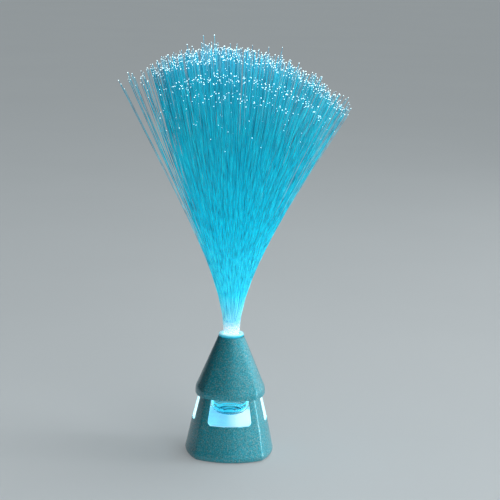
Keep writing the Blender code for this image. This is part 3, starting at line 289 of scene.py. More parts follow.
def loft(name, rings):
    """A skin through rings of points, one above the other."""
    def draw(shape):
        rows = [[shape.verts.new(point) for point in ring] for ring in rings]
        count = len(rings[0])
        for lower, upper in zip(rows, rows[1:]):
            for first in range(count):
                second = (first + 1) % count
                shape.faces.new((lower[first], lower[second], upper[second], upper[first]))
    return mesh_piece(name, draw)


def smooth_rows(knots, steps):
    """Rows (height, value, ...) through the knots on a smooth curve without overshoot."""
    heights = [knot[0] for knot in knots]
    slopes = []
    width = len(knots[0]) - 1
    for column in range(1, width + 1):
        rises = [(b[column] - a[column]) / (b[0] - a[0]) for a, b in zip(knots, knots[1:])]
        tangents = [rises[0]]
        for before, after in zip(rises, rises[1:]):
            tangents.append(0.0 if before * after <= 0.0 else 2.0 * before * after / (before + after))
        tangents.append(rises[-1])
        slopes.append(tangents)
    rows = []
    for index in range(len(knots) - 1):
        span = heights[index + 1] - heights[index]
        for step in range(steps):
            share = step / steps
            row = [heights[index] + span * share]
            for column in range(1, width + 1):
                low, high = knots[index][column], knots[index + 1][column]
                low_slope = slopes[column - 1][index] * span
                high_slope = slopes[column - 1][index + 1] * span
                row.append(
                    (2 * share ** 3 - 3 * share ** 2 + 1) * low
                    + (share ** 3 - 2 * share ** 2 + share) * low_slope
                    + (3 * share ** 2 - 2 * share ** 3) * high
                    + (share ** 3 - share ** 2) * high_slope
                )
            rows.append(tuple(row))
    rows.append(tuple(knots[-1]))
    return rows


def value_at(rows, height):
    """The half width at a height between the rows."""
    for low, high in zip(rows, rows[1:]):
        if low[0] <= height <= high[0]:
            share = (height - low[0]) / (high[0] - low[0])
            return low[1] + (high[1] - low[1]) * share
    raise ValueError("height is off the profile")


def circle(radius, height, steps):
    """Points round the upright axis."""
    turns = [FULL_TURN * step / steps for step in range(steps)]
    return [(radius * math.cos(angle), radius * math.sin(angle), height) for angle in turns]


def turned(name, profile, steps=ROUND_STEPS):
    """A closed profile (radius, height) turned round the upright axis."""
    def draw(shape):
        rings = []
        for radius, height in profile:
            ring = circle(radius, height, steps) if radius > TINY else [(0.0, 0.0, height)]
            rings.append([shape.verts.new(point) for point in ring])
        for one, other in zip(rings, rings[1:] + rings[:1]):
            if len(one) == 1 and len(other) == 1:
                continue
            for step in range(steps):
                after = (step + 1) % steps
                if len(one) == 1:
                    shape.faces.new((one[0], other[after], other[step]))
                elif len(other) == 1:
                    shape.faces.new((one[step], one[after], other[0]))
                else:
                    shape.faces.new((one[step], one[after], other[after], other[step]))
        bmesh.ops.recalc_face_normals(shape, faces=shape.faces)
    return mesh_piece(name, draw)


def closed_tube(name, points, radius):
    """A round tube along points that close on themselves."""
    curve = bpy.data.curves.new(name, "CURVE")
    curve.dimensions = "3D"
    curve.bevel_depth = radius
    curve.bevel_resolution = TUBE_RESOLUTION
    spline = curve.splines.new("POLY")
    spline.points.add(len(points) - 1)
    for point, place in zip(spline.points, points):
        point.co = (*place, 1.0)
    spline.use_cyclic_u = True
    item = bpy.data.objects.new(name, curve)
    bpy.context.scene.collection.objects.link(item)
    return item


def base_rows():
    """Rows (height, half width) up the base's skin, from its foot to its neck."""
    widest_z = HOUSING_BOTTOM_Z + BASE_FILLET * math.sin(QUARTER / 2.0)
    fillet = []
    for step in range(FILLET_STEPS):
        angle = QUARTER / 2.0 * (1.0 - step / FILLET_STEPS)
        fillet.append((widest_z - BASE_FILLET * math.sin(angle),
                       BASE_HALF_WIDTH - BASE_FILLET * (1.0 - math.cos(angle))))
    knots = [(widest_z, BASE_HALF_WIDTH)]
    for height_share, width_share in BASE_PROFILE_SHARES:
        knots.append((widest_z + (NECK_Z - widest_z) * height_share,
                      NECK_HALF_WIDTH + (BASE_HALF_WIDTH - NECK_HALF_WIDTH) * width_share))
    knots.append((NECK_Z, NECK_HALF_WIDTH))
    return fillet + smooth_rows(knots, BASE_ROW_STEPS)


def cone_rows():
    """Rows (height, half width, squareness) up the cone, from its rim to its round top."""
    knots = []
    for height_share, inward_share in CONE_SHOULDER_SHARES:
        inward = (CONE_RIM_HALF_WIDTH - CONE_SHOULDER_HALF_WIDTH) * inward_share
        knots.append((CONE_RIM_Z + CONE_SHOULDER_HEIGHT * height_share, CONE_RIM_HALF_WIDTH - inward, 1.0))
    shoulder_z = CONE_RIM_Z + CONE_SHOULDER_HEIGHT
    for row in range(1, CONE_KNOTS + 1):
        share = row / CONE_KNOTS
        knots.append((shoulder_z + (CONE_TOP_Z - shoulder_z) * share,
                      CONE_SHOULDER_HALF_WIDTH + (CONE_TOP_RADIUS - CONE_SHOULDER_HALF_WIDTH) * share,
                      1.0 - share))
    rows = [(CONE_RIM_Z, CONE_RIM_HALF_WIDTH - CONE_RIM_LIP, 1.0)]
    rows.append((CONE_RIM_Z + CONE_RIM_ROUND, CONE_RIM_HALF_WIDTH - CONE_RIM_ROUND, 1.0))
    return rows + smooth_rows(knots, CONE_ROW_STEPS)


BASE_ROWS = base_rows()


def skin_depth(across, height, inside=0.0):
    """How far the base's side stands out from the axis, this far across and up."""
    half = value_at(BASE_ROWS, height) - inside
    side = max(-1.0, min(1.0, across / (half * SIDE_ARC_SHARE)))
    return half * (1.0 - SIDE_ARC_SHARE + SIDE_ARC_SHARE * math.cos(math.asin(side)))


def on_side(turn, across, height, depth):
    """A point on the side of the base that faces turn quarter turns from the front."""
    return Matrix.Rotation(turn * QUARTER, 3, "Z") @ Vector((across, -depth, height))


def window_outline(turn, head_z, inset=0.0):
    """The window's edge from its head's left end, round the sill, to its head's right end."""
    width_share = SIDE_WINDOW_WIDTH_SHARE if turn % 2 else WINDOW_WIDTH_SHARE
    sill_half = value_at(BASE_ROWS, WINDOW_SILL_Z) * width_share - inset
    head_half = value_at(BASE_ROWS, min(head_z, NECK_Z)) * width_share - inset
    corner = WINDOW_CORNER
    sill_z = WINDOW_SILL_Z + inset
    right = []
    for step in range(WINDOW_CORNER_STEPS + 1):
        angle = QUARTER * (step / WINDOW_CORNER_STEPS - 1.0)
        right.append((sill_half - corner + corner * math.cos(angle),
                      sill_z + corner + corner * math.sin(angle)))
    for step in range(1, WINDOW_EDGE_STEPS + 1):
        share = step / WINDOW_EDGE_STEPS
        right.append((sill_half + (head_half - sill_half) * share,
                      sill_z + corner + (head_z - sill_z - corner) * share))
    left = [(-x, z) for x, z in reversed(right)]
    sill_steps = range(1, WINDOW_EDGE_STEPS)
    across = [(sill_half - corner) * (2.0 * step / WINDOW_EDGE_STEPS - 1.0) for step in sill_steps]
    return left + [(x, sill_z) for x in across] + right


# Materials

def node_material(name):
    """A new material, its node tree and its main shader."""
    material = bpy.data.materials.new(name)
    material.use_nodes = True
    tree = material.node_tree
    shader = next(node for node in tree.nodes if node.type == "BSDF_PRINCIPLED")
    return material, tree, shader


def object_coordinates(tree):
    coordinates = tree.nodes.new("ShaderNodeTexCoord")
    return coordinates.outputs["Object"]


def noise(tree, scale, detail=3.0, roughness=0.5, vector=None):
    """A noise texture on the object's own coordinates, or on the vector given."""
    node = tree.nodes.new("ShaderNodeTexNoise")
    node.inputs["Scale"].default_value = scale
    node.inputs["Detail"].default_value = detail
    node.inputs["Roughness"].default_value = roughness
    tree.links.new(vector or object_coordinates(tree), node.inputs["Vector"])
    return node.outputs["Fac"]


def ramp(tree, source, stops):
    """A colour ramp from (place, colour) stops."""
    node = tree.nodes.new("ShaderNodeValToRGB")
    elements = node.color_ramp.elements
    elements[0].position, elements[0].color = stops[0][0], (*stops[0][1], 1.0)
    elements[1].position, elements[1].color = stops[-1][0], (*stops[-1][1], 1.0)
    for place, colour in stops[1:-1]:
        element = elements.new(place)
        element.color = (*colour, 1.0)
    tree.links.new(source, node.inputs["Fac"])
    return node.outputs["Color"]


def grey(value):
    return (value, value, value)


def roughen(tree, shader, source, low, high):
    """Roughness that varies between two values with a texture."""
    tree.links.new(ramp(tree, source, [(0.3, grey(low)), (0.7, grey(high))]), shader.inputs["Roughness"])


def multiply_colours(tree, first, second):
    node = tree.nodes.new("ShaderNodeMix")
    node.data_type = "RGBA"
    node.blend_type = "MULTIPLY"
    node.inputs["Factor"].default_value = 1.0
    colour_inputs = [socket for socket in node.inputs if socket.type == "RGBA"]
    tree.links.new(first, colour_inputs[0])
    tree.links.new(second, colour_inputs[1])
    return next(socket for socket in node.outputs if socket.type == "RGBA")


def math_node(tree, operation, first, second):
    """The result of an operation on two sockets, or on a socket and a number."""
    node = tree.nodes.new("ShaderNodeMath")
    node.operation = operation
    tree.links.new(first, node.inputs[0])
    if isinstance(second, float):
        node.inputs[1].default_value = second
    else:
        tree.links.new(second, node.inputs[1])
    return node.outputs[0]


def bump(tree, shader, height, strength, distance):
    node = tree.nodes.new("ShaderNodeBump")
    node.inputs["Strength"].default_value = strength
    node.inputs["Distance"].default_value = distance
    tree.links.new(height, node.inputs["Height"])
    tree.links.new(node.outputs["Normal"], shader.inputs["Normal"])


def along_axis(tree, axis, low, high):
    """0 at low and 1 at high along an object axis."""
    split = tree.nodes.new("ShaderNodeSeparateXYZ")
    tree.links.new(object_coordinates(tree), split.inputs["Vector"])
    reach = tree.nodes.new("ShaderNodeMapRange")
    reach.inputs["From Min"].default_value = low
    reach.inputs["From Max"].default_value = high
    tree.links.new(split.outputs[axis], reach.inputs["Value"])
    return reach.outputs["Result"]


def silver_paint():
    """Satin metallic silver paint with fine flakes, whose teal colour is painted cyan light from the lamp."""
    material, tree, shader = node_material("silver_paint")
    flakes = noise(tree, scale=1500.0, detail=2.0, roughness=0.7)
    clouds = noise(tree, scale=620.0, detail=2.0, roughness=0.55)
    flake_painted_cyan = ramp(tree, flakes, FLAKE_PAINTED_CYAN_STOPS)
    tint = ramp(tree, clouds, TINT_STOPS)
    tree.links.new(multiply_colours(tree, flake_painted_cyan, tint), shader.inputs["Base Color"])
    shader.inputs["Metallic"].default_value = 0.32
    roughen(tree, shader, flakes, 0.50, 0.38)
    shader.inputs["Coat Weight"].default_value = 0.55
    shader.inputs["Coat Roughness"].default_value = 0.07
    bump(tree, shader, flakes, strength=0.10, distance=0.06 * MM)
    return material


def clear_plastic(name, glow):
    """Clear window plastic with a faint haze, which may carry light."""
    material, tree, shader = node_material(name)
    haze = noise(tree, scale=300.0, detail=4.0)
    tinted = ramp(tree, haze, [(0.4, (0.90, 0.98, 1.0)), (0.6, (0.96, 1.0, 1.0))])
    tree.links.new(tinted, shader.inputs["Base Color"])
    tree.links.new(ramp(tree, haze, [(0.35, grey(0.02)), (0.75, grey(0.09))]), shader.inputs["Roughness"])
    shader.inputs["Transmission Weight"].default_value = 1.0
    shader.inputs["IOR"].default_value = 1.12
    if glow:
        lit = ramp(tree, haze, [(0.4, (0.42, 0.88, 1.0)), (0.6, (0.58, 0.94, 1.0))])
        tree.links.new(lit, shader.inputs["Emission Color"])
        shader.inputs["Emission Strength"].default_value = glow
    return material


def lens_plastic():
    """Clear plastic with a faint haze, tinted cyan as painted light from the lamp."""
    material, tree, shader = node_material("lens_clear")
    cloud = noise(tree, scale=180.0)
    tinted = ramp(tree, cloud, [(0.35, (0.45, 0.90, 0.97)), (0.65, (0.62, 0.95, 1.0))])
    tree.links.new(tinted, shader.inputs["Base Color"])
    roughen(tree, shader, cloud, 0.02, 0.06)
    shader.inputs["Transmission Weight"].default_value = 1.0
    shader.inputs["IOR"].default_value = 1.10
    return material


def lit_plastic(name, stops, strength, low, high, scale, rough, axis="Z"):
    """Plastic that is lit through, with colours from low to high along one axis."""
    material, tree, shader = node_material(name)
    share = along_axis(tree, axis, low, high)
    colour = ramp(tree, share, stops)
    cloud = noise(tree, scale)
    mottle = ramp(tree, cloud, MOTTLE_STOPS)
    final = multiply_colours(tree, colour, mottle)
    tree.links.new(final, shader.inputs["Base Color"])
    tree.links.new(final, shader.inputs["Emission Color"])
    roughen(tree, shader, cloud, rough * 0.8, rough * 1.2)
    shader.inputs["Emission Strength"].default_value = strength
    return material


def moulded(name, dark, light, rough, scale=900.0, grain=0.04 * MM, metallic=0.0, glow=0.0):
    """Moulded plastic, rubber, metal or card with its grain, in two near colours."""
    material, tree, shader = node_material(name)
    grains = noise(tree, scale, detail=4.0, roughness=0.6)
    patches = noise(tree, scale / 12.0, detail=2.0)
    base = ramp(tree, grains, [(0.35, dark), (0.65, light)])
    worn = ramp(tree, patches, MOTTLE_STOPS)
    colour = multiply_colours(tree, base, worn)
    tree.links.new(colour, shader.inputs["Base Color"])
    roughen(tree, shader, patches, rough * 0.85, rough * 1.15)
    shader.inputs["Metallic"].default_value = metallic
    if glow:
        tree.links.new(colour, shader.inputs["Emission Color"])
        shader.inputs["Emission Strength"].default_value = glow
    bump(tree, shader, grains, strength=0.25, distance=grain)
    return material


def fibre_plastic():
    """Lit fibres, duller with height, and streaked along the strands that fan out from the apex."""
    material, tree, shader = node_material("fibre_lit")
    colour = ramp(tree, along_axis(tree, "Z", SLICE_TOP_Z, FAN_TOP_Z), FIBRE_STOPS)
    split = tree.nodes.new("ShaderNodeSeparateXYZ")
    tree.links.new(object_coordinates(tree), split.inputs["Vector"])
    above = math_node(tree, "SUBTRACT", split.outputs["Z"], FIBRE_APEX_Z)
    merge = tree.nodes.new("ShaderNodeCombineXYZ")
    for axis in ("X", "Y"):
        lean = math_node(tree, "DIVIDE", split.outputs[axis], above)
        tree.links.new(lean, merge.inputs[axis])
    streak = noise(tree, scale=95.0, roughness=0.65, vector=merge.outputs[0])
    final = multiply_colours(tree, colour, ramp(tree, streak, STREAK_STOPS))
    tree.links.new(final, shader.inputs["Base Color"])
    tree.links.new(final, shader.inputs["Emission Color"])
    roughen(tree, shader, streak, 0.35, 0.18)
    shader.inputs["Emission Strength"].default_value = 0.55
    return material


# Places along a ramp, each with its colour
MOTTLE_STOPS = [(0.35, grey(0.90)), (0.65, grey(1.0))]
# Teal flake colours: painted cyan light from the lamp on silver paint.
FLAKE_PAINTED_CYAN_STOPS = [(0.34, (0.008, 0.21, 0.27)), (0.50, (0.035, 0.38, 0.46)), (0.66, (0.22, 0.58, 0.66))]
TINT_STOPS = [(0.38, (0.35, 0.98, 1.06)), (0.50, (0.85, 1.0, 1.0)), (0.62, (1.8, 0.96, 0.92))]
FIBRE_STOPS = [
    (0.0, (0.90, 0.98, 1.0)),
    (0.035, (0.72, 0.95, 1.0)),
    (0.06, (0.26, 0.80, 0.95)),
    (0.15, (0.04, 0.72, 0.88)),
    (0.38, (0.008, 0.56, 0.72)),
    (0.70, (0.005, 0.39, 0.52)),
    (0.86, (0.008, 0.37, 0.52)),
    (0.95, (0.03, 0.46, 0.68)),
]
STREAK_STOPS = [
    (0.36, (0.10, 0.24, 0.30)),
    (0.46, (0.50, 0.68, 0.74)),
    (0.55, (1.0, 1.0, 1.0)),
    (0.66, (2.4, 1.38, 1.22)),
]
TIP_STOPS = [(0.0, (0.55, 0.90, 1.0)), (1.0, (0.72, 0.95, 1.0))]
COLLAR_STOPS = [
    (0.0, (0.02, 0.42, 0.58)),
    (0.74, (0.02, 0.38, 0.54)),
    (0.88, (0.05, 0.56, 0.74)),
    (1.0, (0.50, 0.88, 0.98)),
]
SLEEVE_STOPS = [(0.0, (0.55, 0.90, 0.97)), (1.0, (0.86, 0.98, 1.0))]
TRAY_STOPS = [(0.0, (0.19, 0.56, 0.84)), (0.45, (0.28, 0.66, 0.92)), (0.66, (0.95, 0.98, 1.0))]
# Lens rings: painted shade for the dark lines and painted glow for the bright ones.
RING_PAINTED_SHADE_STOPS = [(0.0, (0.0, 0.18, 0.25)), (1.0, (0.0, 0.24, 0.32))]
RING_PAINTED_GLOW_STOPS = [(0.0, (0.10, 0.70, 0.84)), (1.0, (0.16, 0.78, 0.90))]
WINDOW_RIM_STOPS = [(0.0, (0.50, 0.88, 0.96)), (1.0, (0.72, 0.95, 1.0))]
CHAMBER_STOPS = [(0.0, (0.34, 0.84, 0.96)), (1.0, (0.26, 0.78, 0.92))]

SILVER_PAINTED_CYAN = silver_paint()
CLEAR = clear_plastic("clear_window", glow=0.0)
# Side panes: a faint painted glow, standing in for light from the lit chamber behind them.
SIDE_PANE_PAINTED_GLOW = clear_plastic("side_window_painted_glow", glow=0.36)
LENS = lens_plastic()
FIBRE = fibre_plastic()
TIP = lit_plastic("fibre_tip_lit", TIP_STOPS, 2.2, TIP_LOW_Z, FAN_TOP_Z, scale=900.0, rough=0.2)
COLLAR = lit_plastic("collar_lit", COLLAR_STOPS, 0.5, COLLAR_GLOW_Z, COLLAR_TOP_Z, scale=500.0, rough=0.15)
SLEEVE = lit_plastic("sleeve_lit", SLEEVE_STOPS, 1.3, SLEEVE_LOW_Z, SLEEVE_TOP_Z, scale=500.0, rough=0.4)
# Tray: painted glow from the chamber LED, cyan on its left side and white on its right.
TRAY = lit_plastic("tray_lit", TRAY_STOPS, 0.55, -TRAY_REACH, TRAY_REACH, scale=120.0, rough=0.5, axis="X")
RING_PAINTED_SHADE = lit_plastic(
    "lens_ring_dark", RING_PAINTED_SHADE_STOPS, 0.1, RING_LOW_Z, RING_TOP_Z, scale=500.0, rough=0.3
)
RING_PAINTED_GLOW = lit_plastic(
    "lens_ring_light", RING_PAINTED_GLOW_STOPS, 0.45, RING_LOW_Z, RING_TOP_Z, scale=500.0, rough=0.2
)
WINDOW_RIM = lit_plastic(
    "window_rim_lit", WINDOW_RIM_STOPS, 0.5, GLOW_LOW_Z, GLOW_TOP_Z, scale=400.0, rough=0.35
)
CHAMBER = lit_plastic("chamber_wall_lit", CHAMBER_STOPS, 0.55, GLOW_LOW_Z, WALL_TOP_Z, scale=400.0, rough=0.4)
WHITE = moulded("white_plastic", (0.70, 0.73, 0.74), (0.80, 0.82, 0.83), rough=0.42)
# Lens holder: white plastic, whose cyan colour and glow are painted light from the chamber LED.
CEILING_PAINTED_GLOW = moulded("chamber_ceiling_painted_glow", (0.05, 0.60, 0.76), (0.10, 0.70, 0.86), rough=0.45, glow=0.6)
BLACK = moulded("black_plastic", (0.022, 0.024, 0.026), (0.040, 0.042, 0.045), 0.55, 1500.0, 0.08 * MM)
BOARD = moulded("board_white", (0.72, 0.75, 0.74), (0.80, 0.82, 0.80), rough=0.5)
LIGHT = moulded("light_chip", (0.80, 0.95, 1.0), (0.92, 0.98, 1.0), rough=0.2, glow=2.0)
STEEL = moulded("plated_steel", (0.52, 0.52, 0.50), (0.66, 0.66, 0.64), 0.30, 1800.0, 0.03 * MM, metallic=1.0)
RUBBER = moulded("foot_rubber", (0.035, 0.035, 0.037), (0.060, 0.060, 0.062), 0.85, 1400.0, 0.1 * MM)
CELL = moulded("cell_sleeve", (0.075, 0.095, 0.135), (0.11, 0.13, 0.18), rough=0.35)
RED = moulded("red_wire", (0.48, 0.035, 0.028), (0.62, 0.055, 0.045), rough=0.45)


# Pieces

def finish_piece(item, material, body, nodes=()):
    """Give a piece its material and the body that it moves with."""
    item.data.materials.clear()
    item.data.materials.append(material)
    if nodes:
        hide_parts(*nodes)
    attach(item, body)


def solid_wall(item, wall):
    """Give a skin its wall, on the inside."""
    solidify = item.modifiers.new("wall", "SOLIDIFY")
    solidify.thickness = wall
    solidify.offset = -1.0
    solidify.use_even_offset = True


def rounded(item, width, angle=40.0):
    """Round the edges that are sharper than the angle."""
    bevel = item.modifiers.new("edges", "BEVEL")
    bevel.width = width
    bevel.segments = 2
    bevel.limit_method = "ANGLE"
    bevel.angle_limit = math.radians(angle)


def shade_by_angle(item, degrees=35.0):
    """Smooth shading apart from edges sharper than this."""
    mesh = item.data
    shape = bmesh.new()
    shape.from_mesh(mesh)
    for face in shape.faces:
        face.smooth = True
    for edge in shape.edges:
        edge.smooth = len(edge.link_faces) != 2 or edge.calc_face_angle(0.0) < math.radians(degrees)
    shape.to_mesh(mesh)
    shape.free()


def make_base():
    """The painted tub with its four windows, and a lip that reaches up inside the cone."""
    shoulder_z = CONE_RIM_Z + CONE_SHOULDER_HEIGHT
    lip_slope = (CONE_SHOULDER_HALF_WIDTH - CONE_TOP_RADIUS) / (CONE_TOP_Z - shoulder_z)
    lip_half = CONE_SHOULDER_HALF_WIDTH - lip_slope * (HOUSING_TOP_Z - shoulder_z)
    lip_half -= (CONE_WALL + SEAT_GAP) * math.hypot(1.0, lip_slope)
    rows = [*BASE_ROWS, (HOUSING_TOP_Z, lip_half)]
    base = loft("base_shell", [section(half, height) for height, half in rows])
    solid_wall(base, HOUSING_WALL)
    apply_all(base)
    for turn in (0, 1):
        outline = window_outline(turn, HOUSING_TOP_Z - WINDOW_TOP_ROOM)
        combine(base, prism("cutter", outline, turn, CUTTER_REACH, -CUTTER_REACH), "DIFFERENCE")
    rounded(base, BASE_EDGE)
    apply_all(base)
    shade_by_angle(base)
    finish_piece(base, SILVER_PAINTED_CYAN, "housing", ["lower_housing"])
    # The chamber's inner walls get a painted glow, standing in for the chamber LED's light on them.
    base.data.materials.append(CHAMBER)
    tray_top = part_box("light_tray")[1].z
    for face in base.data.polygons:
        inward = face.normal.x * face.center.x + face.normal.y * face.center.y < 0.0
        if inward and tray_top < face.center.z < HOUSING_TOP_Z - LIP_TOP_ROOM:
            face.material_index = 1


def make_cone():
    """The painted cover over the base, square at its rim and round at its top."""
    rows = cone_rows()
    cone = loft("cone_cover", [section(half, height, squareness) for height, half, squareness in rows])
    solid_wall(cone, CONE_WALL)
    apply_all(cone)
    rounded(cone, CONE_EDGE)
    apply_all(cone)
    shade_by_angle(cone)
    finish_piece(cone, SILVER_PAINTED_CYAN, "housing", ["upper_cone"])


def side_sheet(name, turn, low, high, half, inset):
    """A curved sheet that follows one side of the base, this far inside its skin."""
    def draw(shape):
        lines = []
        for row in range(SHEET_ROWS + 1):
            height = low + (high - low) * row / SHEET_ROWS
            line = []
            for column in range(SHEET_COLUMNS + 1):
                across = half * (2.0 * column / SHEET_COLUMNS - 1.0)
                depth = skin_depth(across, min(height, NECK_Z), inset)
                line.append(shape.verts.new(on_side(turn, across, height, depth)))
            lines.append(line)
        for below, above in zip(lines, lines[1:]):
            for column in range(SHEET_COLUMNS):
                after = column + 1
                shape.faces.new((below[column], below[after], above[after], above[column]))
    return mesh_piece(name, draw)


def prism(name, points, turn, near, far):
    """The outline of points, carried from near to far along one side's direction."""
    def draw(shape):
        ends = []
        for depth in (near, far):
            ends.append([shape.verts.new(on_side(turn, across, z, depth)) for across, z in points])
        count = len(points)
        for first in range(count):
            second = (first + 1) % count
            shape.faces.new((ends[0][first], ends[0][second], ends[1][second], ends[1][first]))
        shape.faces.new(list(reversed(ends[0])))
        shape.faces.new(ends[1])
        bmesh.ops.recalc_face_normals(shape, faces=shape.faces)
    return mesh_piece(name, draw)


def combine(item, other, operation):
    """Join, cut or trim a piece with another solid, which is used up."""
    boolean = item.modifiers.new("combine", "BOOLEAN")
    boolean.operation = operation
    boolean.solver = "EXACT"
    boolean.object = other
    apply_all(item)
    bpy.data.objects.remove(other, do_unlink=True)


def make_window(side, turn):
    """A clear pane with a raised middle that fills the window, lit along the middle's edge."""
    low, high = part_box("window_pane_front")[0].z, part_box("window_pane_front")[1].z
    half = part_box("window_pane_front")[1].x
    pane = side_sheet("pane_" + side, turn, low, high, half, PANE_INSET)
    solid_wall(pane, PANE_THICKNESS)
    apply_all(pane)
    rounded(pane, PANE_EDGE)
    apply_all(pane)
    middle = side_sheet("middle", turn, low, NECK_Z, half, PLUG_SINK)
    solid_wall(middle, PANE_INSET + 0.5 * PANE_THICKNESS - PLUG_SINK)
    apply_all(middle)
    outline = window_outline(turn, NECK_Z - 2.0 * PLUG_GAP, PLUG_GAP)
    combine(middle, prism("outline", outline, turn, CUTTER_START, CUTTER_REACH), "INTERSECT")
    combine(pane, middle, "UNION")
    rounded(pane, PLUG_EDGE, 50.0)
    apply_all(pane)
    shade_by_angle(pane)
    finish_piece(pane, SIDE_PANE_PAINTED_GLOW if turn % 2 else CLEAR, "housing", ["window_pane_" + side])
    # The faces round the middle's edge get a painted highlight, a thin bright border round the window.
    pane.data.materials.append(WINDOW_RIM)
    back = Matrix.Rotation(-turn * QUARTER, 3, "Z")
    for face in pane.data.polygons:
        place = back @ face.center
        facing = back @ face.normal
        sunk = skin_depth(place.x, min(max(place.z, low), NECK_Z)) + place.y
        if sunk < PANE_INSET - NEAR_ENOUGH and abs(facing.y) < EDGE_FACING:
            face.material_index = 1


def make_collar():
    """The clear ring on top of the cone, with its spigot inside."""
    edge = COLLAR_EDGE
    profile = [
        (COLLAR_BORE, COLLAR_SPIGOT_Z),
        (COLLAR_BORE, COLLAR_TOP_Z - edge / 2),
        (COLLAR_BORE + edge / 5, COLLAR_TOP_Z - edge / 6),
        (COLLAR_BORE + edge / 2, COLLAR_TOP_Z),
    ]
    for step in range(COLLAR_TOP_STEPS + 1):
        angle = QUARTER * step / COLLAR_TOP_STEPS
        radius = COLLAR_RADIUS - edge * (1.0 - math.sin(angle))
        profile.append((radius, COLLAR_TOP_Z - edge * (1.0 - math.cos(angle))))
    for step in range(COLLAR_FOOT_STEPS + 1):
        angle = QUARTER * step / COLLAR_FOOT_STEPS
        radius = COLLAR_RADIUS - edge / 2 * (1.0 - math.cos(angle))
        profile.append((radius, COLLAR_LOW_Z + edge / 2 * (1.0 - math.sin(angle))))
    profile += [(COLLAR_SPIGOT_RADIUS, COLLAR_LOW_Z), (COLLAR_SPIGOT_RADIUS, COLLAR_SPIGOT_Z)]
    collar = turned("collar", profile)
    shade_by_angle(collar)
    finish_piece(collar, COLLAR, "housing", ["collar_ring"])


def make_sleeve():
    """The ferrule round the foot of the fibres, with eased edges."""
    low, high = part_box("fibre_ferrule")
    outer = high.x
    inner = outer - SLEEVE_WALL
    lip = SLEEVE_LIP
    profile = [
        (inner, low.z),
        (inner, high.z - lip),
        (inner + lip, high.z),
        (outer - lip, high.z),
        (outer, high.z - lip),
        (outer, low.z + lip),
        (outer - lip, low.z),
    ]
    sleeve = turned("fibre_sleeve", profile)
    shade_by_angle(sleeve)
    finish_piece(sleeve, SLEEVE, "fibre_bundle", ["fibre_ferrule"])


def make_lens():
    """The clear bowl, with its stepped rings inside and a thick middle."""
    low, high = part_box("lens")
    radius = high.x
    top = high.z
    rim_z = top - LENS_RIM_HEIGHT
    depth = rim_z - low.z
    inner = radius - LENS_WALL
    inner_depth = depth - LENS_WALL

    def inner_z(share):
        return rim_z - inner_depth * math.sqrt(max(0.0, 1.0 - share ** 2))

    profile = [(0.0, inner_z(0.0) + LENS_MIDDLE_RISE)]
    last = 0.0
    for share in LENS_STEP_SHARES:
        for step in range(1, LENS_TREAD_STEPS + 1):
            here = last + (share - last) * step / LENS_TREAD_STEPS
            profile.append((inner * here, inner_z(here)))
        profile.append((inner * share + LENS_RISER_NEAR, inner_z(share) + LENS_RISER_HEIGHT))
        profile.append((inner * share + LENS_RISER_FAR, inner_z(share) + LENS_RISER_HEIGHT))
        last = share + LENS_GROOVE_SHARE
    for step in range(1, LENS_WALL_STEPS + 1):
        here = last + (1.0 - last) * math.sin(QUARTER * step / LENS_WALL_STEPS)
        profile.append((inner * here, max(profile[-1][1], inner_z(here))))
    profile += [
        (inner, top - LENS_EDGE),
        (inner + LENS_EDGE, top),
        (radius - LENS_EDGE, top),
        (radius, top - LENS_EDGE),
    ]
    for step in range(LENS_SKIN_STEPS + 1):
        angle = QUARTER * step / LENS_SKIN_STEPS
        profile.append((radius * math.cos(angle), rim_z - depth * math.sin(angle)))
    profile[-1] = (0.0, low.z)
    lens = turned("lens_bowl", profile, LENS_STEPS)
    shade_by_angle(lens, 30.0)
    finish_piece(lens, LENS, "housing", ["lens"])
    # The rings are tubes that take turns in painted glow and painted shade, for the bright and dark lines the
    # lens steps show; the middle bead has painted glow.
    for number, (ring_radius, ring_z, thick) in enumerate(LENS_RINGS, start=1):
        ring = closed_tube("lens_ring_%d" % number, circle(ring_radius, ring_z, ROUND_STEPS), thick)
        finish_piece(ring, RING_PAINTED_GLOW if number % 2 else RING_PAINTED_SHADE, "housing")
    bead = turned("lens_bead", LENS_BEAD, BEAD_STEPS)
    finish_piece(bead, RING_PAINTED_GLOW, "housing")


def fibre_path(x, y, spread_y, length, stray):
    """Places along a fibre that leaves the bundle at x, y and spreads as if from x, spread_y."""
    radius = math.hypot(x, y)
    reach = min(1.0, radius / ROOT_RADIUS)
    away_x, away_y = (x / radius, spread_y / radius) if radius > TINY else (0.0, 0.0)
    hold = 0.0
    if away_x < 0.0:
        hold = (1.0 - LEFT_SPREAD_SHARE) * (1.0 - max(stray, reach ** OUTLIER_POWER))
    step = length / PATH_STEPS
    places = [Vector((x, y, SLICE_TOP_Z))]
    for index in range(PATH_STEPS):
        middle = (index + 0.5) * step
        lean = FIBRE_LEAN * reach * (1.0 - math.exp(-middle / (LEAN_BUILD_SHARE * FIBRE_LENGTH)))
        across = math.sin(lean) * away_x * (1.0 - hold * middle / length)
        back = math.sin(lean) * away_y * DEPTH_SPREAD_SHARE
        rise = math.sqrt(1.0 - across ** 2 - back ** 2)
        places.append(places[-1] + Vector((across, back, rise)) * step)
    return places


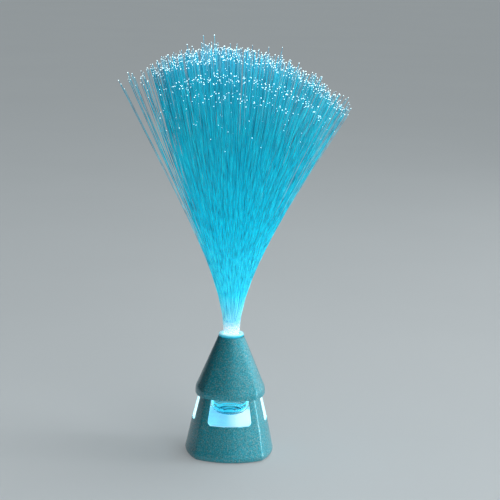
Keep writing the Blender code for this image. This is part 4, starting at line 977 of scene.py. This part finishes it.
def fibre_roots(source):
    """Places of the fibres in the bundle, in rows that are drawn together in groups."""
    rows = math.ceil(ROOT_RADIUS / ROOT_PITCH) + 2
    row_pitch = ROOT_PITCH * math.sin(2.0 * QUARTER / 3.0)
    scatter = FIBRE_SCATTER_SHARE
    roots = []
    for row in range(-2 * rows, 2 * rows + 1):
        for column in range(-2 * rows, 2 * rows + 1):
            x = (column + (row % 2) / 2.0) * ROOT_PITCH + source.uniform(-scatter, scatter) * ROOT_PITCH
            y = row * row_pitch + source.uniform(-scatter, scatter) * ROOT_PITCH
            if math.hypot(x, y) < ROOT_RADIUS:
                group = round(y / ROW_GROUP) * ROW_GROUP
                roots.append((x, y, y + (group - y) * ROW_BUNCHING))
    return roots


def fibre_length(x, reach, row_shift, block_shift, source):
    """A fibre's length: shorter at the edges and to the right, with a few short and tall ones."""
    length = FIBRE_LENGTH * (1.0 - (1.0 - EDGE_LENGTH_SHARE) * reach ** 2 - TIP_SLOPE_SHARE * x / ROOT_RADIUS)
    length += row_shift + block_shift + source.uniform(-LENGTH_JITTER, LENGTH_JITTER)
    chance = source.random()
    if chance < SHORT_FIBRE_CHANCE:
        length *= source.uniform(*SHORT_FIBRE_SHARES)
    elif chance > 1.0 - TALL_FIBRE_CHANCE:
        length *= source.uniform(*TALL_FIBRE_SHARES)
    return length


def fibre_paths(source):
    """The places along every fibre, with the size of its tip."""
    blocks, rows = {}, {}
    paths = []
    for x, y, spread_y in fibre_roots(source):
        reach = math.hypot(x, y) / ROOT_RADIUS
        row = round(y / ROW_GROUP)
        block = (round(x / BLOCK_WIDTH), row)
        if row not in rows:
            rows[row] = source.uniform(-ROW_JITTER, ROW_JITTER)
        if block not in blocks:
            blocks[block] = source.uniform(-BLOCK_JITTER, BLOCK_JITTER)
        length = fibre_length(x, reach, rows[row], blocks[block], source)
        turn = source.uniform(0.0, FULL_TURN)
        drift = Vector((math.cos(turn), math.sin(turn), 0.0)) * TIP_DRIFT * source.uniform(*TIP_DRIFT_SHARES)
        stray = source.random() if reach > STRAY_REACH and source.random() < STRAY_CHANCE else 0.0
        path = fibre_path(x, y, spread_y, length, stray)
        path = [place + drift * (number / PATH_STEPS) ** 2 for number, place in enumerate(path)]
        paths.append((path, TIP_RADIUS * source.uniform(*TIP_SIZE_SHARES)))
    return paths


def add_strand(path, points, faces):
    """One fibre with its two ends closed."""
    first = len(points)
    for ring in FIBRE_RINGS:
        before, after = path[max(0, ring - 1)], path[min(PATH_STEPS, ring + 1)]
        heading = (after - before).normalized()
        across = heading.cross(Vector((0.0, 1.0, 0.0))).normalized()
        upright = heading.cross(across)
        for corner in range(FIBRE_SIDES):
            angle = FULL_TURN * corner / FIBRE_SIDES
            outward = across * math.cos(angle) + upright * math.sin(angle)
            points.append(path[ring] + outward * FIBRE_RADIUS)
    for ring in range(len(FIBRE_RINGS) - 1):
        low = first + ring * FIBRE_SIDES
        high = low + FIBRE_SIDES
        for corner in range(FIBRE_SIDES):
            after = (corner + 1) % FIBRE_SIDES
            faces.append((low + corner, low + after, high + after, high + corner))
    last = first + (len(FIBRE_RINGS) - 1) * FIBRE_SIDES
    faces.append(tuple(range(last, last + FIBRE_SIDES)))
    faces.append(tuple(range(first + FIBRE_SIDES - 1, first - 1, -1)))


def mesh_from_faces(name, points, faces):
    """A new smooth piece from points and the faces between them."""
    mesh = bpy.data.meshes.new(name)
    mesh.from_pydata([tuple(point) for point in points], [], faces)
    mesh.update()
    mesh.polygons.foreach_set("use_smooth", [True] * len(mesh.polygons))
    item = bpy.data.objects.new(name, mesh)
    bpy.context.scene.collection.objects.link(item)
    return item


def make_fibres():
    """The fan of fibres, and the bright bead at the end of each."""
    strands, strand_faces = [], []
    tips, tip_faces = [], []
    for path, size in fibre_paths(random.Random(FAN_SEED)):
        add_strand(path, strands, strand_faces)
        first = len(tips)
        tips += [path[-1] + Vector(corner) * size for corner in BEAD_CORNERS]
        tip_faces += [tuple(first + corner for corner in face) for face in BEAD_FACES]
    fan = mesh_from_faces("fibre_strands", strands, strand_faces)
    finish_piece(fan, FIBRE, "fibre_bundle", ["fibre_spray"])
    beads = mesh_from_faces("fibre_tips", tips, tip_faces)
    finish_piece(beads, TIP, "fibre_bundle")


make_base()
make_cone()
for pane_turn, pane_side in enumerate(("front", "right", "rear", "left")):
    make_window(pane_side, pane_turn)
make_collar()
make_sleeve()
make_lens()
make_fibres()


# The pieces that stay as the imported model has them

FINISHES = {
    "light_tray": TRAY, "lens_holder": CEILING_PAINTED_GLOW, "led_board": BOARD, "fibre_led": LIGHT, "chamber_led": LIGHT,
    "bundle_socket": BLACK, "bundle_core": SLEEVE, "bottom_cover": BLACK, "battery_door": BLACK,
    "door_screw": STEEL, "switch_body": BLACK, "switch_knob": WHITE, "wire_red": RED, "wire_black": BLACK,
}
for number in range(1, 5):
    FINISHES["foot_pad_%d" % number] = RUBBER
    FINISHES["housing_screw_%d" % number] = STEEL
for number in range(1, 4):
    FINISHES["battery_cell_%d" % number] = CELL
    FINISHES["contact_plate_%d" % number] = STEEL
    FINISHES["contact_spring_%d" % number] = STEEL
for node_name, finish in FINISHES.items():
    node = NODES[node_name]
    for slot_index in range(len(node.material_slots)):
        node.material_slots[slot_index].material = finish
for node_name in ("bottom_cover", "battery_door", "switch_knob", "switch_body", "light_tray"):
    rounded(NODES[node_name], MOULDED_EDGE, 50.0)


# Floor, light and camera

FLOOR_PALE = 0.24
FLOOR_REACH = 20.0
FLOOR_STOPS = [(0.3, (0.37, 0.395, 0.405)), (0.7, (0.39, 0.415, 0.425))]
WHITE_LIGHT = (1.0, 1.0, 1.0)
COOL_LIGHT = (0.95, 0.98, 1.0)
WORLD_COLOUR = (0.80, 0.90, 0.94, 1.0)
WORLD_LEFT = 0.03
WORLD_RIGHT = 0.66
WORLD_DARK_TO = -0.25


def make_stage():
    """A plain pale floor, which also looks pale in what mirrors it or shows it through."""
    material, tree, shader = node_material("pale_floor")
    cloud = noise(tree, scale=3.0)
    tree.links.new(ramp(tree, cloud, FLOOR_STOPS), shader.inputs["Base Color"])
    shader.inputs["Roughness"].default_value = 0.9
    shader.inputs["Specular IOR Level"].default_value = 0.1
    shader.inputs["Emission Color"].default_value = (0.90, 0.97, 1.0, 1.0)
    path = tree.nodes.new("ShaderNodeLightPath")
    seen = path.outputs["Is Camera Ray"]
    for ray in ("Is Transmission Ray", "Is Glossy Ray"):
        seen = math_node(tree, "MAXIMUM", seen, path.outputs[ray])
    pale = math_node(tree, "MULTIPLY", seen, FLOOR_PALE)
    tree.links.new(pale, shader.inputs["Emission Strength"])

    def draw(shape):
        shares = ((-1, -1), (1, -1), (1, 1), (-1, 1))
        shape.faces.new([shape.verts.new((x * FLOOR_REACH, y * FLOOR_REACH, 0.0)) for x, y in shares])

    floor = mesh_piece("floor", draw, False)
    floor.data.materials.append(material)


def make_light(name, place, target, size, power, colour=WHITE_LIGHT, glossy=True):
    """A round soft light, which may be left out of what shiny surfaces mirror."""
    data = bpy.data.lights.new(name, "AREA")
    data.shape = "DISK"
    data.size = size
    data.energy = power
    data.color = colour
    item = bpy.data.objects.new(name, data)
    item.location = place
    item.rotation_euler = (Vector(target) - Vector(place)).to_track_quat("-Z", "Y").to_euler()
    item.visible_glossy = glossy
    bpy.context.scene.collection.objects.link(item)


def make_strip(name, place, target, width, height, power):
    """A tall narrow light, for the thin bright line along a corner."""
    data = bpy.data.lights.new(name, "AREA")
    data.shape = "RECTANGLE"
    data.size = width
    data.size_y = height
    data.energy = power
    item = bpy.data.objects.new(name, data)
    item.location = place
    aim = Vector((target[0] - place[0], target[1] - place[1], 0.0))
    item.rotation_euler = aim.to_track_quat("-Z", "Y").to_euler()
    bpy.context.scene.collection.objects.link(item)


def make_world():
    """Soft light that grows from the lamp's left to its right."""
    world = bpy.data.worlds.new("studio")
    world.use_nodes = True
    background = next(node for node in world.node_tree.nodes if node.type == "BACKGROUND")
    background.inputs["Color"].default_value = WORLD_COLOUR
    tree = world.node_tree
    split = tree.nodes.new("ShaderNodeSeparateXYZ")
    tree.links.new(tree.nodes.new("ShaderNodeTexCoord").outputs["Generated"], split.inputs["Vector"])
    across = tree.nodes.new("ShaderNodeMapRange")
    across.inputs["From Min"].default_value = WORLD_DARK_TO
    across.inputs["From Max"].default_value = 1.0
    across.inputs["To Min"].default_value = WORLD_LEFT
    across.inputs["To Max"].default_value = WORLD_RIGHT
    tree.links.new(split.outputs["X"], across.inputs["Value"])
    tree.links.new(across.outputs["Result"], background.inputs["Strength"])
    bpy.context.scene.world = world


def make_camera():
    """The camera at the photo's viewing angle."""
    data = bpy.data.cameras.new("camera")
    data.sensor_width = SENSOR
    data.lens = CAMERA_FOCAL_PIXELS / IMAGE_SIZE * SENSOR
    data.shift_x = (IMAGE_SIZE / 2.0 - AXIS_PIXEL) / IMAGE_SIZE
    data.clip_end = 100.0
    camera = bpy.data.objects.new("camera", data)
    camera.location = (0.0, -CAMERA_DISTANCE, CAMERA_HEIGHT)
    tilt = Matrix.Rotation(QUARTER - CAMERA_PITCH, 3, "X") @ Matrix.Rotation(CAMERA_ROLL, 3, "Z")
    camera.rotation_euler = tilt.to_euler()
    bpy.context.scene.collection.objects.link(camera)
    bpy.context.scene.camera = camera


make_stage()
make_light("front", (0.75, -1.45, 0.55), (0.0, 0.0, 0.08), size=1.0, power=11.0, glossy=False)
make_light("key", (1.5, -0.25, 0.45), (0.0, 0.0, 0.06), size=1.0, power=6.5, glossy=False)
make_light("side", (1.1, 0.9, 0.40), (0.0, 0.0, 0.05), size=1.2, power=2.0)
make_light("top", (0.35, 0.1, 1.7), (0.0, 0.0, 0.1), size=0.9, power=8.0, colour=COOL_LIGHT)
make_strip("strip_right", (1.45, -0.05, 0.25), (0.0, 0.0, 0.06), width=0.12, height=0.46, power=5.0)
make_world()
make_camera()
bpy.context.scene.view_settings.view_transform = "Standard"
